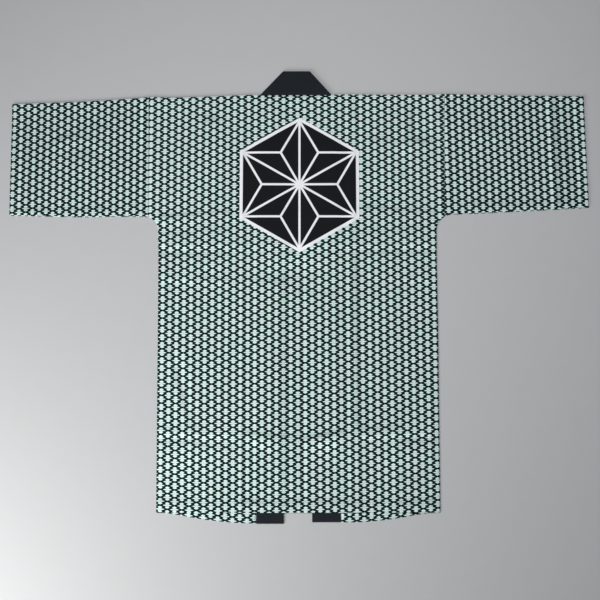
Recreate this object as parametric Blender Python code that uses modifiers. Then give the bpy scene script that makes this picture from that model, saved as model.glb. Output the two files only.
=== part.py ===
"""Happi coat laid flat on a surface, back up.

Metres, +Z up. The neck points along +Y and the cuffs along X, the wearer's left along -X.
Places on the coat are given as "across", the distance from its middle line, and "height",
the distance above the back hem towards the neck. The lower layer is the two fronts, the
under half of each sleeve and the collar's two long bands, all flat on the surface. The
upper layer is the back and the upper half of each sleeve, which lie over them.
"""

import math

import bmesh
import bpy

# Walls and gaps
CLOTH_WALL = 0.0012
COLLAR_WALL = 0.0024
SEAM_GAP = 0.0003
COLLAR_FOLD_GAP = 0.0006

# The upper layer's underside over the surface: where it lies on one layer of cloth, and
# how much more it rises over the collar's bands and at a folded edge
REST_LIFT = 0.0015
BAND_RISE = 0.0012
FOLD_RISE = 0.0015
BAND_RAMP = 0.021
FOLD_RAMP = 0.034
CREASE_FADE = 0.020
ARMPIT_EASE = 0.006

# Outline of the neck and the collar
NECK_LEFT = -0.0887
NECK_RIGHT = 0.0772
NECK_HEIGHT = 0.9456
COLLAR_TOP = 1.0006
FOLD_INSET = 0.0004
SHOULDER_TURN = 0.012

# Outer folded edge of shoulders and sleeves
TOP_EDGE = (
    # across, height on the left, height on the right
    (0.077, 0.9456, 0.9456),
    (0.109, 0.9449, 0.9460),
    (0.200, 0.9412, 0.9455),
    (0.296, 0.9384, 0.9455),
    (0.343, 0.9397, 0.9473),
    (0.366, 0.9374, 0.9466),
    (0.490, 0.9292, 0.9434),
    (0.591, 0.9252, 0.9425),
    (0.664, 0.9224, 0.9412),
)

# Lower sewn edge of the sleeves
SLEEVE_FOOT = (
    # across, height on the left, height on the right
    (0.340, 0.6560, 0.6615),
    (0.422, 0.6568, 0.6647),
    (0.502, 0.6556, 0.6688),
    (0.600, 0.6580, 0.6738),
    (0.664, 0.6592, 0.6776),
)

# Side edges of the body
SIDE_EDGE = (
    # height, across on the left, across on the right
    (0.000, 0.3095, 0.3096),
    (0.240, 0.3125, 0.3113),
    (0.400, 0.3143, 0.3128),
    (0.560, 0.3166, 0.3130),
    (0.625, 0.3188, 0.3141),
    (0.700, 0.3195, 0.3145),
)

# Hem of the fronts, which hang a little below the back hem
FRONT_HEM = (
    # across, height on the left, height on the right
    (0.086, -0.0234, -0.0206),
    (0.130, -0.0220, -0.0204),
    (0.170, -0.0188, -0.0178),
    (0.215, -0.0132, -0.0122),
    (0.260, -0.0052, -0.0045),
    (0.312, 0.0020, 0.0030),
)

# Each side's sign, table column, armhole seam and cuff across at the top and at the foot,
# and its armpit's height and radius
SIDES = {
    "left": dict(sign=-1, column=1, seam_top=0.3466, seam_foot=0.3402, cuff_top=0.6622,
                 cuff_foot=0.6576, armpit=0.6560, radius=0.029),
    "right": dict(sign=1, column=2, seam_top=0.3394, seam_foot=0.3330, cuff_top=0.6608,
                  cuff_foot=0.6623, armpit=0.6615, radius=0.036),
}

# The collar's two bands on the fronts: sewn and free edge across at the hem, free edge
# across at the neck, and the height of the band's end
BANDS = {
    "left": dict(sewn_hem=-0.0907, free_hem=-0.0313, free_neck=-0.0356, end=-0.0235),
    "right": dict(sewn_hem=0.0926, free_hem=0.0303, free_neck=0.0268, end=-0.0202),
}

# Pressed creases and soft folds of the upper layer
CREASES = (
    # from across, from height, to across, to height, rise, half width
    (-0.1241, -0.010, -0.1241, 0.930, 0.0010, 0.010),
    (0.1327, -0.010, 0.1327, 0.930, 0.0010, 0.010),
    (-0.310, 0.587, 0.310, 0.587, 0.0010, 0.013),
    (-0.310, 0.514, 0.310, 0.514, 0.0006, 0.013),
    (-0.310, 0.164, 0.310, 0.164, 0.0012, 0.014),
    (-0.276, 0.376, -0.236, 0.170, 0.0013, 0.034),
    (0.588, 0.660, 0.588, 0.940, 0.0012, 0.013),
    (-0.610, 0.700, -0.560, 0.900, 0.0010, 0.040),
    (-0.470, 0.690, -0.420, 0.880, 0.0012, 0.045),
    (0.400, 0.880, 0.450, 0.700, 0.0011, 0.045),
)

# Lines that run up the back, from the left side edge to the right one
BACK_LINES = (
    # share of the way out to a side edge, across at the hem, across at the shoulder
    (-1.00, -0.1341, -0.1341),
    (-0.68, -0.1341, -0.1341),
    (-0.34, -0.1341, -0.1341),
    (0.00, -0.1341, -0.1341),
    (0.00, -0.1241, -0.1241),
    (0.00, -0.1141, -0.1141),
    (0.00, -0.0907, NECK_LEFT),
    (0.00, -0.0610, -0.0622),
    (0.00, -0.0313, -0.0356),
    (0.00, -0.0005, -0.0045),
    (0.00, 0.0303, 0.0268),
    (0.00, 0.0615, 0.0520),
    (0.00, 0.0926, NECK_RIGHT),
    (0.00, 0.1227, 0.1227),
    (0.00, 0.1327, 0.1327),
    (0.00, 0.1427, 0.1427),
    (0.34, 0.1427, 0.1427),
    (0.68, 0.1427, 0.1427),
    (1.00, 0.1427, 0.1427),
)
NECK_LINES = (6, 12)

# Rows of the body's panels: heights up to the armpits, shares of the armpit's curve, and
# shares of the way from the armpits to the shoulder
SKIRT_ROWS = (0.000, 0.014, 0.060, 0.105, 0.150, 0.164, 0.178, 0.225, 0.275, 0.325, 0.376,
              0.425, 0.465, 0.501, 0.514, 0.527, 0.550, 0.574, 0.587, 0.600)
ARMPIT_ROWS = (0.0, 0.45, 0.75, 0.91, 0.97, 1.0)
CHEST_ROWS = (0.13, 0.29, 0.45, 0.61, 0.77, 0.88, 0.95, 1.0)
FOLD_STEPS = 5

FRONT_SHARES = (0.0, 0.25, 0.5, 0.75, 1.0)

# Sleeve stations from the armhole to the cuff, and the places of its upper and under half
SLEEVE_STATIONS = (0.0, 0.035, 0.13, 0.26, 0.40, 0.54, 0.66, 0.745, 0.785, 0.825, 0.91, 1.0)
UPPER_SHARES = (0.0, 0.05, 0.13, 0.27, 0.42, 0.58, 0.73, 0.87, 0.94, 1.0)
UNDER_SHARES = (0.0, 0.25, 0.5, 0.75, 1.0)
SLEEVE_FOLD_ANGLES = (54, 18, -18, -54)
SLEEVE_FOOT_ANGLES = (30, -30)

# Collar stations down each band and along the neck, and the angles of its corner folds
BAND_SHARES = (0.04, 0.12, 0.25, 0.40, 0.55, 0.70, 0.85, 0.95, 1.0)
NECK_SHARES = (0.0, 0.25, 0.5, 0.75, 1.0)
CORNER_ANGLES = (-90, -60, -30, 0, 30, 60, 90)
ACROSS_COLLAR = (0.0, 0.5, 1.0)

# The origin lies under the middle of the outline
ORIGIN_HEIGHT = (COLLAR_TOP + BANDS["left"]["end"]) / 2

PRINTED_COTTON = ("printed_cotton", (0.40, 0.48, 0.43), 0.85)
BLACK_COTTON = ("black_cotton", (0.015, 0.017, 0.020), 0.80)


def mix(low, high, share):
    return low + (high - low) * share


def ease(share):
    """A smooth step from 0 to 1, flat outside."""
    share = min(max(share, 0.0), 1.0)
    return share * share * (3 - 2 * share)


def read(table, key, column):
    """A column's value at a key, on a smooth curve through the table's rows."""
    last = len(table) - 2
    row = 0
    while row < last and key > table[row + 1][0]:
        row += 1

    def slope(index):
        before = table[max(index - 1, 0)]
        after = table[min(index + 1, len(table) - 1)]
        return (after[column] - before[column]) / (after[0] - before[0])

    start, end = table[row], table[row + 1]
    span = end[0] - start[0]
    share = min(max((key - start[0]) / span, 0.0), 1.0)
    square, cube = share ** 2, share ** 3
    return ((2 * cube - 3 * square + 1) * start[column]
            + (cube - 2 * square + share) * span * slope(row)
            + (3 * square - 2 * cube) * end[column]
            + (cube - square) * span * slope(row + 1))


def side_of(across):
    return SIDES["left"] if across < 0 else SIDES["right"]


def top_edge(across):
    if NECK_LEFT <= across <= NECK_RIGHT:
        return NECK_HEIGHT
    return read(TOP_EDGE, abs(across), side_of(across)["column"])


def fold_start(across):
    """Height where the upper layer begins to turn over the folded top edge."""
    radius = (REST_LIFT + FOLD_RISE) / 2
    return top_edge(across) - radius - CLOTH_WALL / 2


def armhole_seam(side, height):
    """Distance of the armhole seam from the middle line."""
    share = (height - side["armpit"]) / (NECK_HEIGHT - side["armpit"])
    return mix(side["seam_foot"], side["seam_top"], share)


def armpit_foot(side):
    """Height at which the armpit's curve meets the armhole seam."""
    radius = side["radius"]
    flat = read(SIDE_EDGE, side["armpit"], side["column"])
    beyond = radius - (side["seam_foot"] - flat)
    return side["armpit"] - radius + math.sqrt(radius ** 2 - beyond ** 2)


def body_edge(side, height):
    """Distance of the body's side from the middle line: side seam, armpit, armhole."""
    radius = side["radius"]
    flat = read(SIDE_EDGE, height, side["column"])
    above = height - (side["armpit"] - radius)
    if above <= 0:
        return flat
    if height >= armpit_foot(side):
        return armhole_seam(side, height)
    return flat + radius - math.sqrt(radius ** 2 - above ** 2)


def sleeve_foot(side, across):
    """Height of the sleeve's lower edge, whose inner end is the armpit's curve."""
    radius = side["radius"]
    flat = read(SIDE_EDGE, side["armpit"], side["column"])
    beyond = flat + radius - across
    straight = read(SLEEVE_FOOT, across, side["column"])
    if beyond <= 0:
        return straight
    return straight - radius + math.sqrt(radius ** 2 - beyond ** 2)


def band_line(name, edge, height):
    """Across of a band's sewn or free edge at a height."""
    band = BANDS[name]
    neck = {"left": NECK_LEFT, "right": NECK_RIGHT}[name] if edge == "sewn" else band["free_neck"]
    return mix(band[edge + "_hem"], neck, height / NECK_HEIGHT)


def over_bands(across, height):
    """1 over a band of the collar, easing to 0 beside it."""
    most = 0.0
    for name in BANDS:
        edges = sorted((band_line(name, "sewn", height), band_line(name, "free", height)))
        beside = max(edges[0] - across, across - edges[1], 0.0)
        most = max(most, ease(1 - beside / BAND_RAMP))
    return most


def crease_rise(across, height):
    """How far the creases and soft folds lift the upper layer."""
    total = 0.0
    for x0, y0, x1, y1, rise, half_width in CREASES:
        along_x, along_y = x1 - x0, y1 - y0
        share = (across - x0) * along_x + (height - y0) * along_y
        share = min(max(share / (along_x ** 2 + along_y ** 2), 0.0), 1.0)
        away = math.hypot(across - x0 - share * along_x, height - y0 - share * along_y)
        total += rise * ease(1 - away / half_width)
    return total


def lift(across, height):
    """Height of the upper layer's underside over the surface."""
    side = side_of(across)
    fold = ease(1 - (fold_start(across) - height) / FOLD_RAMP)
    band = over_bands(across, height) * BAND_RISE / FOLD_RISE
    if abs(across) > armhole_seam(side, height):
        inside = height - sleeve_foot(side, abs(across))
    else:
        inside = body_edge(side, height) - abs(across)
        if height > armpit_foot(side):
            inside = CREASE_FADE
    inside = min(inside, fold_start(across) - height)
    fade = ease(inside / CREASE_FADE)
    layers = REST_LIFT + FOLD_RISE * (1 - (1 - fold) * (1 - band))
    return layers + crease_rise(across, height) * fade


def place(across, height, z):
    return (across, height - ORIGIN_HEIGHT, z)


def row_height(row, across):
    """Height of a body row: (kind, value), where the kind names what its value shares."""
    kind, value = row
    if kind == "skirt":
        return value
    share = ease((across + SIDES["left"]["seam_foot"])
                 / (SIDES["left"]["seam_foot"] + SIDES["right"]["seam_foot"]))
    foot = mix(armpit_foot(SIDES["left"]), armpit_foot(SIDES["right"]), share)
    if kind == "armpit":
        starts = [side["armpit"] - side["radius"] for side in SIDES.values()]
        return mix(mix(*starts, share), foot, value)
    return mix(foot, value[1](across), value[0])


def body_rows(top):
    """Rows of a panel of the body, whose last one lies on the height function top."""
    rows = [("skirt", height) for height in SKIRT_ROWS]
    rows += [("armpit", share) for share in ARMPIT_ROWS]
    rows += [("chest", (share, top)) for share in CHEST_ROWS]
    return rows


def on_row(row, across_at):
    """Across and height where a line that runs up the body crosses a row."""
    across = across_at(0.0)
    for _ in range(4):
        height = row_height(row, across)
        across = across_at(height)
    return across, height


def make_material(name, colour, roughness):
    material = bpy.data.materials.new(name)
    material.use_nodes = True
    shader = material.node_tree.nodes["Principled BSDF"]
    shader.inputs["Base Color"].default_value = (*colour, 1.0)
    shader.inputs["Roughness"].default_value = roughness
    shader.inputs["Metallic"].default_value = 0.0
    return material


def make_sheet(name, lines, wall, material, collection, ring=False):
    """An object from lines of points, each line a row of the sheet, with a wall round it.

    A point of None leaves its faces out. In a ring the last line joins the first one."""
    across_count, row_count = len(lines[0]), len(lines)
    sheet = bmesh.new()
    bmesh.ops.create_grid(sheet, x_segments=across_count - 1, y_segments=row_count - 1, size=0.5)
    left_out = []
    for vertex in sheet.verts:
        column = round((vertex.co.x + 0.5) * (across_count - 1))
        row = round((vertex.co.y + 0.5) * (row_count - 1))
        point = lines[row][column]
        if point is None:
            left_out.append(vertex)
        else:
            vertex.co = point
    bmesh.ops.delete(sheet, geom=left_out, context="VERTS")
    if ring:
        bmesh.ops.remove_doubles(sheet, verts=sheet.verts, dist=0.00001)
    mesh = bpy.data.meshes.new(name)
    sheet.to_mesh(mesh)
    sheet.free()
    mesh.shade_smooth()
    mesh.materials.append(material)
    piece = bpy.data.objects.new(name, mesh)
    collection.objects.link(piece)
    shell = piece.modifiers.new("wall", "SOLIDIFY")
    shell.thickness = wall
    shell.offset = 0.0
    shell.use_even_offset = True
    return piece


def make_back(material, collection):
    """The back, whose upper edge turns over the shoulders and ends at the seam below."""
    middle = CLOTH_WALL / 2
    rows = body_rows(fold_start)

    def line_at(line):
        share, hem, shoulder = line
        side = SIDES["left"] if share < 0 else SIDES["right"]

        def across_at(height):
            inner = mix(hem, shoulder, height / NECK_HEIGHT)
            return mix(inner, side["sign"] * body_edge(side, height), abs(share))
        return across_at

    paths = [line_at(line) for line in BACK_LINES]
    lines = []
    for row in rows:
        points = [on_row(row, path) for path in paths]
        lines.append([place(x, y, lift(x, y) + middle) for x, y in points])

    ends = [on_row(rows[-1], path) for path in paths]

    def turn(index, offset, z):
        if NECK_LINES[0] < index < NECK_LINES[1]:
            return None
        height = ends[index][1] + offset
        return place(paths[index](height), height, z)

    radius = (REST_LIFT + FOLD_RISE) / 2
    for step in range(1, FOLD_STEPS + 1):
        angle = math.pi * step / FOLD_STEPS
        out, up = radius * math.sin(angle), radius * (1 + math.cos(angle))
        lines.append([turn(index, out, middle + up) for index in range(len(ends))])
    flap = SHOULDER_TURN - radius - middle
    lines.append([turn(index, -flap, middle) for index in range(len(ends))])
    return make_sheet("back", lines, CLOTH_WALL, material, collection)


def make_front(name, material, collection):
    """One front, flat on the surface between the collar's band and the side seam."""
    side = SIDES[name]
    middle = CLOTH_WALL / 2

    def seam_under_shoulder(across):
        return top_edge(across) - SHOULDER_TURN - SEAM_GAP

    def line_at(share):
        def across_at(height):
            inner = abs(band_line(name, "sewn", height)) + SEAM_GAP
            return side["sign"] * mix(inner, body_edge(side, max(height, 0.0)), share)
        return across_at

    lines = []
    for index, row in enumerate(body_rows(seam_under_shoulder)):
        line = []
        for share in FRONT_SHARES:
            x, y = on_row(row, line_at(share))
            if index == 0:
                y = read(FRONT_HEM, abs(x), side["column"])
                x = line_at(share)(y)
            line.append(place(x, y, middle))
        lines.append(line)
    return make_sheet("front_" + name, lines, CLOTH_WALL, material, collection)


def make_sleeve(name, material, collection):
    """One sleeve, a flat tube folded along its top, sewn along its foot, open at its ends."""
    side = SIDES[name]
    middle = CLOTH_WALL / 2
    foot_radius = REST_LIFT / 2
    top_radius = (REST_LIFT + FOLD_RISE) / 2

    def across_at(station, height):
        span = NECK_HEIGHT - side["armpit"]
        cuff = mix(side["cuff_foot"], side["cuff_top"], (height - side["armpit"]) / span)
        gap = SEAM_GAP * (1 + ease(1 - (height - side["armpit"]) / ARMPIT_EASE))
        return mix(armhole_seam(side, height) + gap, cuff, station)

    def ring(station):
        """Section of the tube at a station, as (height, z), its foot first."""
        near_foot = across_at(station, side["armpit"])
        low = sleeve_foot(side, near_foot) + foot_radius + middle
        high = fold_start(side["sign"] * across_at(station, NECK_HEIGHT))
        points = []
        for share in UPPER_SHARES:
            y = mix(low, high, share)
            x = side["sign"] * across_at(station, y)
            z = lift(x, y) if 0 < share < 1 else REST_LIFT + FOLD_RISE * share
            points.append((y, z + middle))
        for degrees in SLEEVE_FOLD_ANGLES:
            angle = math.radians(degrees)
            z = middle + top_radius * (1 + math.sin(angle))
            points.append((high + top_radius * math.cos(angle), z))
        points += [(mix(high, low, share), middle) for share in UNDER_SHARES]
        for degrees in reversed(SLEEVE_FOOT_ANGLES):
            angle = math.radians(degrees)
            z = middle + foot_radius * (1 + math.sin(angle))
            points.append((low - foot_radius * math.cos(angle), z))
        points.append(points[0])
        return points

    rings = [ring(station) for station in SLEEVE_STATIONS]
    lines = []
    for index in range(len(rings[0])):
        line = []
        for station, points in zip(SLEEVE_STATIONS, rings):
            y, z = points[index]
            line.append(place(side["sign"] * across_at(station, y), y, z))
        lines.append(line)
    return make_sheet("sleeve_" + name, lines, CLOTH_WALL, material, collection, ring=True)


def collar_corner(name):
    """Where the collar folds over at one end of the neck: its fold line's foot, the line's
    direction and length, and the direction from the line into the neck."""
    sign = SIDES[name]["sign"]
    foot_x = {"left": NECK_LEFT, "right": NECK_RIGHT}[name] - sign * SEAM_GAP
    foot_y = fold_start(0.0) + SEAM_GAP
    top_x = BANDS[name]["free_neck"]
    run, rise = abs(foot_x - top_x), COLLAR_TOP - foot_y
    length = math.hypot(run, rise)
    along = (-sign * run / length, rise / length)
    inward = (-sign * rise / length, -run / length)
    foot = (foot_x + inward[0] * FOLD_INSET, foot_y + inward[1] * FOLD_INSET)
    return foot, along, length, inward


def corner_stations(name):
    """Stations of one corner fold, from the band below to the neck part above it: sewn
    edge, free edge and height of the collar's middle."""
    foot, along, length, inward = collar_corner(name)
    radius = (COLLAR_WALL + COLLAR_FOLD_GAP) / 2
    tangent = along[1] / abs(along[0])
    stations = []
    for degrees in CORNER_ANGLES:
        angle = math.radians(degrees)
        offset = radius * (1 - math.cos(angle))
        reach = offset + FOLD_INSET
        bulge = COLLAR_WALL / 2 * math.cos(angle)
        if degrees < 0:
            start, end = (bulge - reach) * tangent, length - reach * tangent
        else:
            start, end = (bulge + reach) / tangent, length + (reach - bulge) / tangent
        edges = []
        for distance in (start, end):
            edges.append((foot[0] + along[0] * distance + inward[0] * offset,
                          foot[1] + along[1] * distance + inward[1] * offset))
        z = COLLAR_WALL / 2 + radius * (1 + math.sin(angle))
        stations.append((edges[0], edges[1], z))
    return stations


def band_stations(name, first):
    """Stations of one band from its corner fold down to the hem."""
    band = BANDS[name]
    middle = COLLAR_WALL / 2
    sewn, free, _ = first
    stations = []
    for share in BAND_SHARES:
        edges = []
        for edge, start in (("sewn", sewn), ("free", free)):
            height = mix(start[1], band["end"], share)
            edges.append((mix(start[0], band[edge + "_hem"], share), height))
        stations.append((edges[0], edges[1], middle))
    return stations


def make_collar(material, collection):
    """The collar, one strip up one front, round the neck and down the other front."""
    left, right = corner_stations("left"), corner_stations("right")
    neck = []
    for share in NECK_SHARES[1:-1]:
        edges = []
        for edge in (0, 1):
            edges.append(tuple(mix(left[-1][edge][axis], right[-1][edge][axis], share)
                               for axis in (0, 1)))
        neck.append((edges[0], edges[1], left[-1][2]))
    stations = band_stations("left", left[0])[::-1] + left + neck
    stations += right[::-1] + band_stations("right", right[0])
    lines = []
    for share in ACROSS_COLLAR:
        lines.append([place(mix(sewn[0], free[0], share), mix(sewn[1], free[1], share), z)
                      for sewn, free, z in stations])
    return make_sheet("collar", lines, COLLAR_WALL, material, collection)


def main():
    for piece in list(bpy.data.objects):
        bpy.data.objects.remove(piece)
    collection = bpy.data.collections.new("happi_coat")
    bpy.context.scene.collection.children.link(collection)
    cotton = make_material(*PRINTED_COTTON)
    black = make_material(*BLACK_COTTON)
    make_back(cotton, collection)
    for name in SIDES:
        make_front(name, cotton, collection)
        make_sleeve(name, cotton, collection)
    make_collar(black, collection)


main()
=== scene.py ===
"""Looks of a happi coat laid flat, back up: its cloth, print, pressed creases and sewing.

Metres, +Z up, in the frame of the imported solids. Places on the coat are given as "across",
the distance from its middle line, and "height", the distance above the back hem towards the
neck. The upper layer is the back and the upper half of each sleeve. The lower layer is the
two fronts, the under half of each sleeve and the collar's two long bands.
"""

import math
from collections import namedtuple

import bmesh
import bpy
from bpy.props import FloatProperty, FloatVectorProperty, PointerProperty
from mathutils import Matrix, Vector, noise


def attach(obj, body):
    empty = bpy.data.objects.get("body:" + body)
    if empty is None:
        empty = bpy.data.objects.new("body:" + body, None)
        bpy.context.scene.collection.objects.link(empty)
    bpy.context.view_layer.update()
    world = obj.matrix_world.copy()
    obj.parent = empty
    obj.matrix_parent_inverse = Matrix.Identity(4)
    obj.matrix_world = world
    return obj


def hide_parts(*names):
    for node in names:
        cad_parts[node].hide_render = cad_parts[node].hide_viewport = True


bl_info = {
    "name": "Happi coat laid flat",
    "version": (1, 0, 0),
    "blender": (4, 5, 0),
    "location": "3D View > Sidebar > Happi coat",
    "description": "Dresses a happi coat in printed cotton and sets it on a studio floor",
    "category": "Object",
}

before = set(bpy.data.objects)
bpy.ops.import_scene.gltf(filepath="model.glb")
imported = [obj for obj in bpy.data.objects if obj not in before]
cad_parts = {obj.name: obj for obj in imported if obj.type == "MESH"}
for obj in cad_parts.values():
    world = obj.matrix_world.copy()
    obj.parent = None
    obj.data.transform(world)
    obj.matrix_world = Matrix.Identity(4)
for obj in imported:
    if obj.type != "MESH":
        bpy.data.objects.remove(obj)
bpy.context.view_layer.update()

# Walls and gaps of the solids
CLOTH_WALL = 0.0012
COLLAR_WALL = 0.0024
SEAM_GAP = 0.0003
COLLAR_FOLD_GAP = 0.0006

# The upper layer's underside over the floor: where it lies on one layer of cloth, how much
# more it rises over the collar's bands and at a folded edge, and how wide those slopes are
REST_LIFT = 0.0015
BAND_RISE = 0.0012
FOLD_RISE = 0.0015
BAND_RAMP = 0.021
FOLD_RAMP = 0.034
FOLD_RADIUS = (REST_LIFT + FOLD_RISE) / 2
HALF_WALL = CLOTH_WALL / 2

# Middle of the lower layer's cloth over the floor, and the least that the upper layer's has
LOWER_MIDDLE = 0.0004
LOWEST_UPPER = LOWER_MIDDLE * 3

# How far in from an edge the creases fade, the share of the sewing's relief that stays
# there, and how far under the armpit's curve the armhole seam's relief begins
CREASE_FADE = 0.020
EDGE_SEWING = 0.4
ARMPIT_EASE = 0.006

# Outline of the neck and the collar
NECK_LEFT = -0.0887
NECK_RIGHT = 0.0772
NECK_HEIGHT = 0.9456
COLLAR_TOP = 1.0006
FOLD_INSET = 0.0004
SHOULDER_TURN = 0.012

TOP_EDGE = (
    # across, height on the left, height on the right
    (0.077, 0.9456, 0.9456),
    (0.109, 0.9449, 0.9460),
    (0.200, 0.9412, 0.9455),
    (0.296, 0.9384, 0.9455),
    (0.343, 0.9397, 0.9473),
    (0.366, 0.9374, 0.9466),
    (0.490, 0.9292, 0.9434),
    (0.591, 0.9252, 0.9425),
    (0.664, 0.9224, 0.9412),
)

SLEEVE_FOOT = (
    # across, height on the left, height on the right
    (0.340, 0.6560, 0.6615),
    (0.422, 0.6568, 0.6647),
    (0.502, 0.6556, 0.6688),
    (0.600, 0.6580, 0.6738),
    (0.664, 0.6592, 0.6776),
)

SIDE_EDGE = (
    # height, across on the left, across on the right
    (0.000, 0.3095, 0.3096),
    (0.240, 0.3125, 0.3113),
    (0.400, 0.3143, 0.3128),
    (0.560, 0.3166, 0.3130),
    (0.625, 0.3188, 0.3141),
    (0.700, 0.3195, 0.3145),
)

FRONT_HEM = (
    # across, height on the left, height on the right
    (0.086, -0.0234, -0.0206),
    (0.130, -0.0220, -0.0204),
    (0.170, -0.0188, -0.0178),
    (0.215, -0.0132, -0.0122),
    (0.260, -0.0052, -0.0045),
    (0.312, 0.0020, 0.0030),
)

SIDES = {
    "left": dict(sign=-1, column=1, seam_top=0.3466, seam_foot=0.3402, cuff_top=0.6622,
                 cuff_foot=0.6576, armpit=0.6560, radius=0.029),
    "right": dict(sign=1, column=2, seam_top=0.3394, seam_foot=0.3330, cuff_top=0.6608,
                  cuff_foot=0.6623, armpit=0.6615, radius=0.036),
}

BANDS = {
    "left": dict(sewn_hem=-0.0907, sewn_neck=NECK_LEFT, free_hem=-0.0313, free_neck=-0.0356,
                 end=-0.0235),
    "right": dict(sewn_hem=0.0926, sewn_neck=NECK_RIGHT, free_hem=0.0303, free_neck=0.0268,
                  end=-0.0202),
}

# Broad creases and soft folds that the solids have too
CREASES = (
    # from across, from height, to across, to height, rise, half width
    (-0.1241, -0.010, -0.1241, 0.930, 0.0010, 0.010),
    (0.1327, -0.010, 0.1327, 0.930, 0.0010, 0.010),
    (-0.310, 0.587, 0.310, 0.587, 0.0010, 0.013),
    (-0.310, 0.514, 0.310, 0.514, 0.0006, 0.013),
    (-0.310, 0.164, 0.310, 0.164, 0.0012, 0.014),
    (-0.276, 0.376, -0.236, 0.170, 0.0013, 0.034),
    (0.588, 0.660, 0.588, 0.940, 0.0012, 0.013),
    (-0.610, 0.700, -0.560, 0.900, 0.0010, 0.040),
    (-0.470, 0.690, -0.420, 0.880, 0.0012, 0.045),
    (0.400, 0.880, 0.450, 0.700, 0.0011, 0.045),
)

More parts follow.
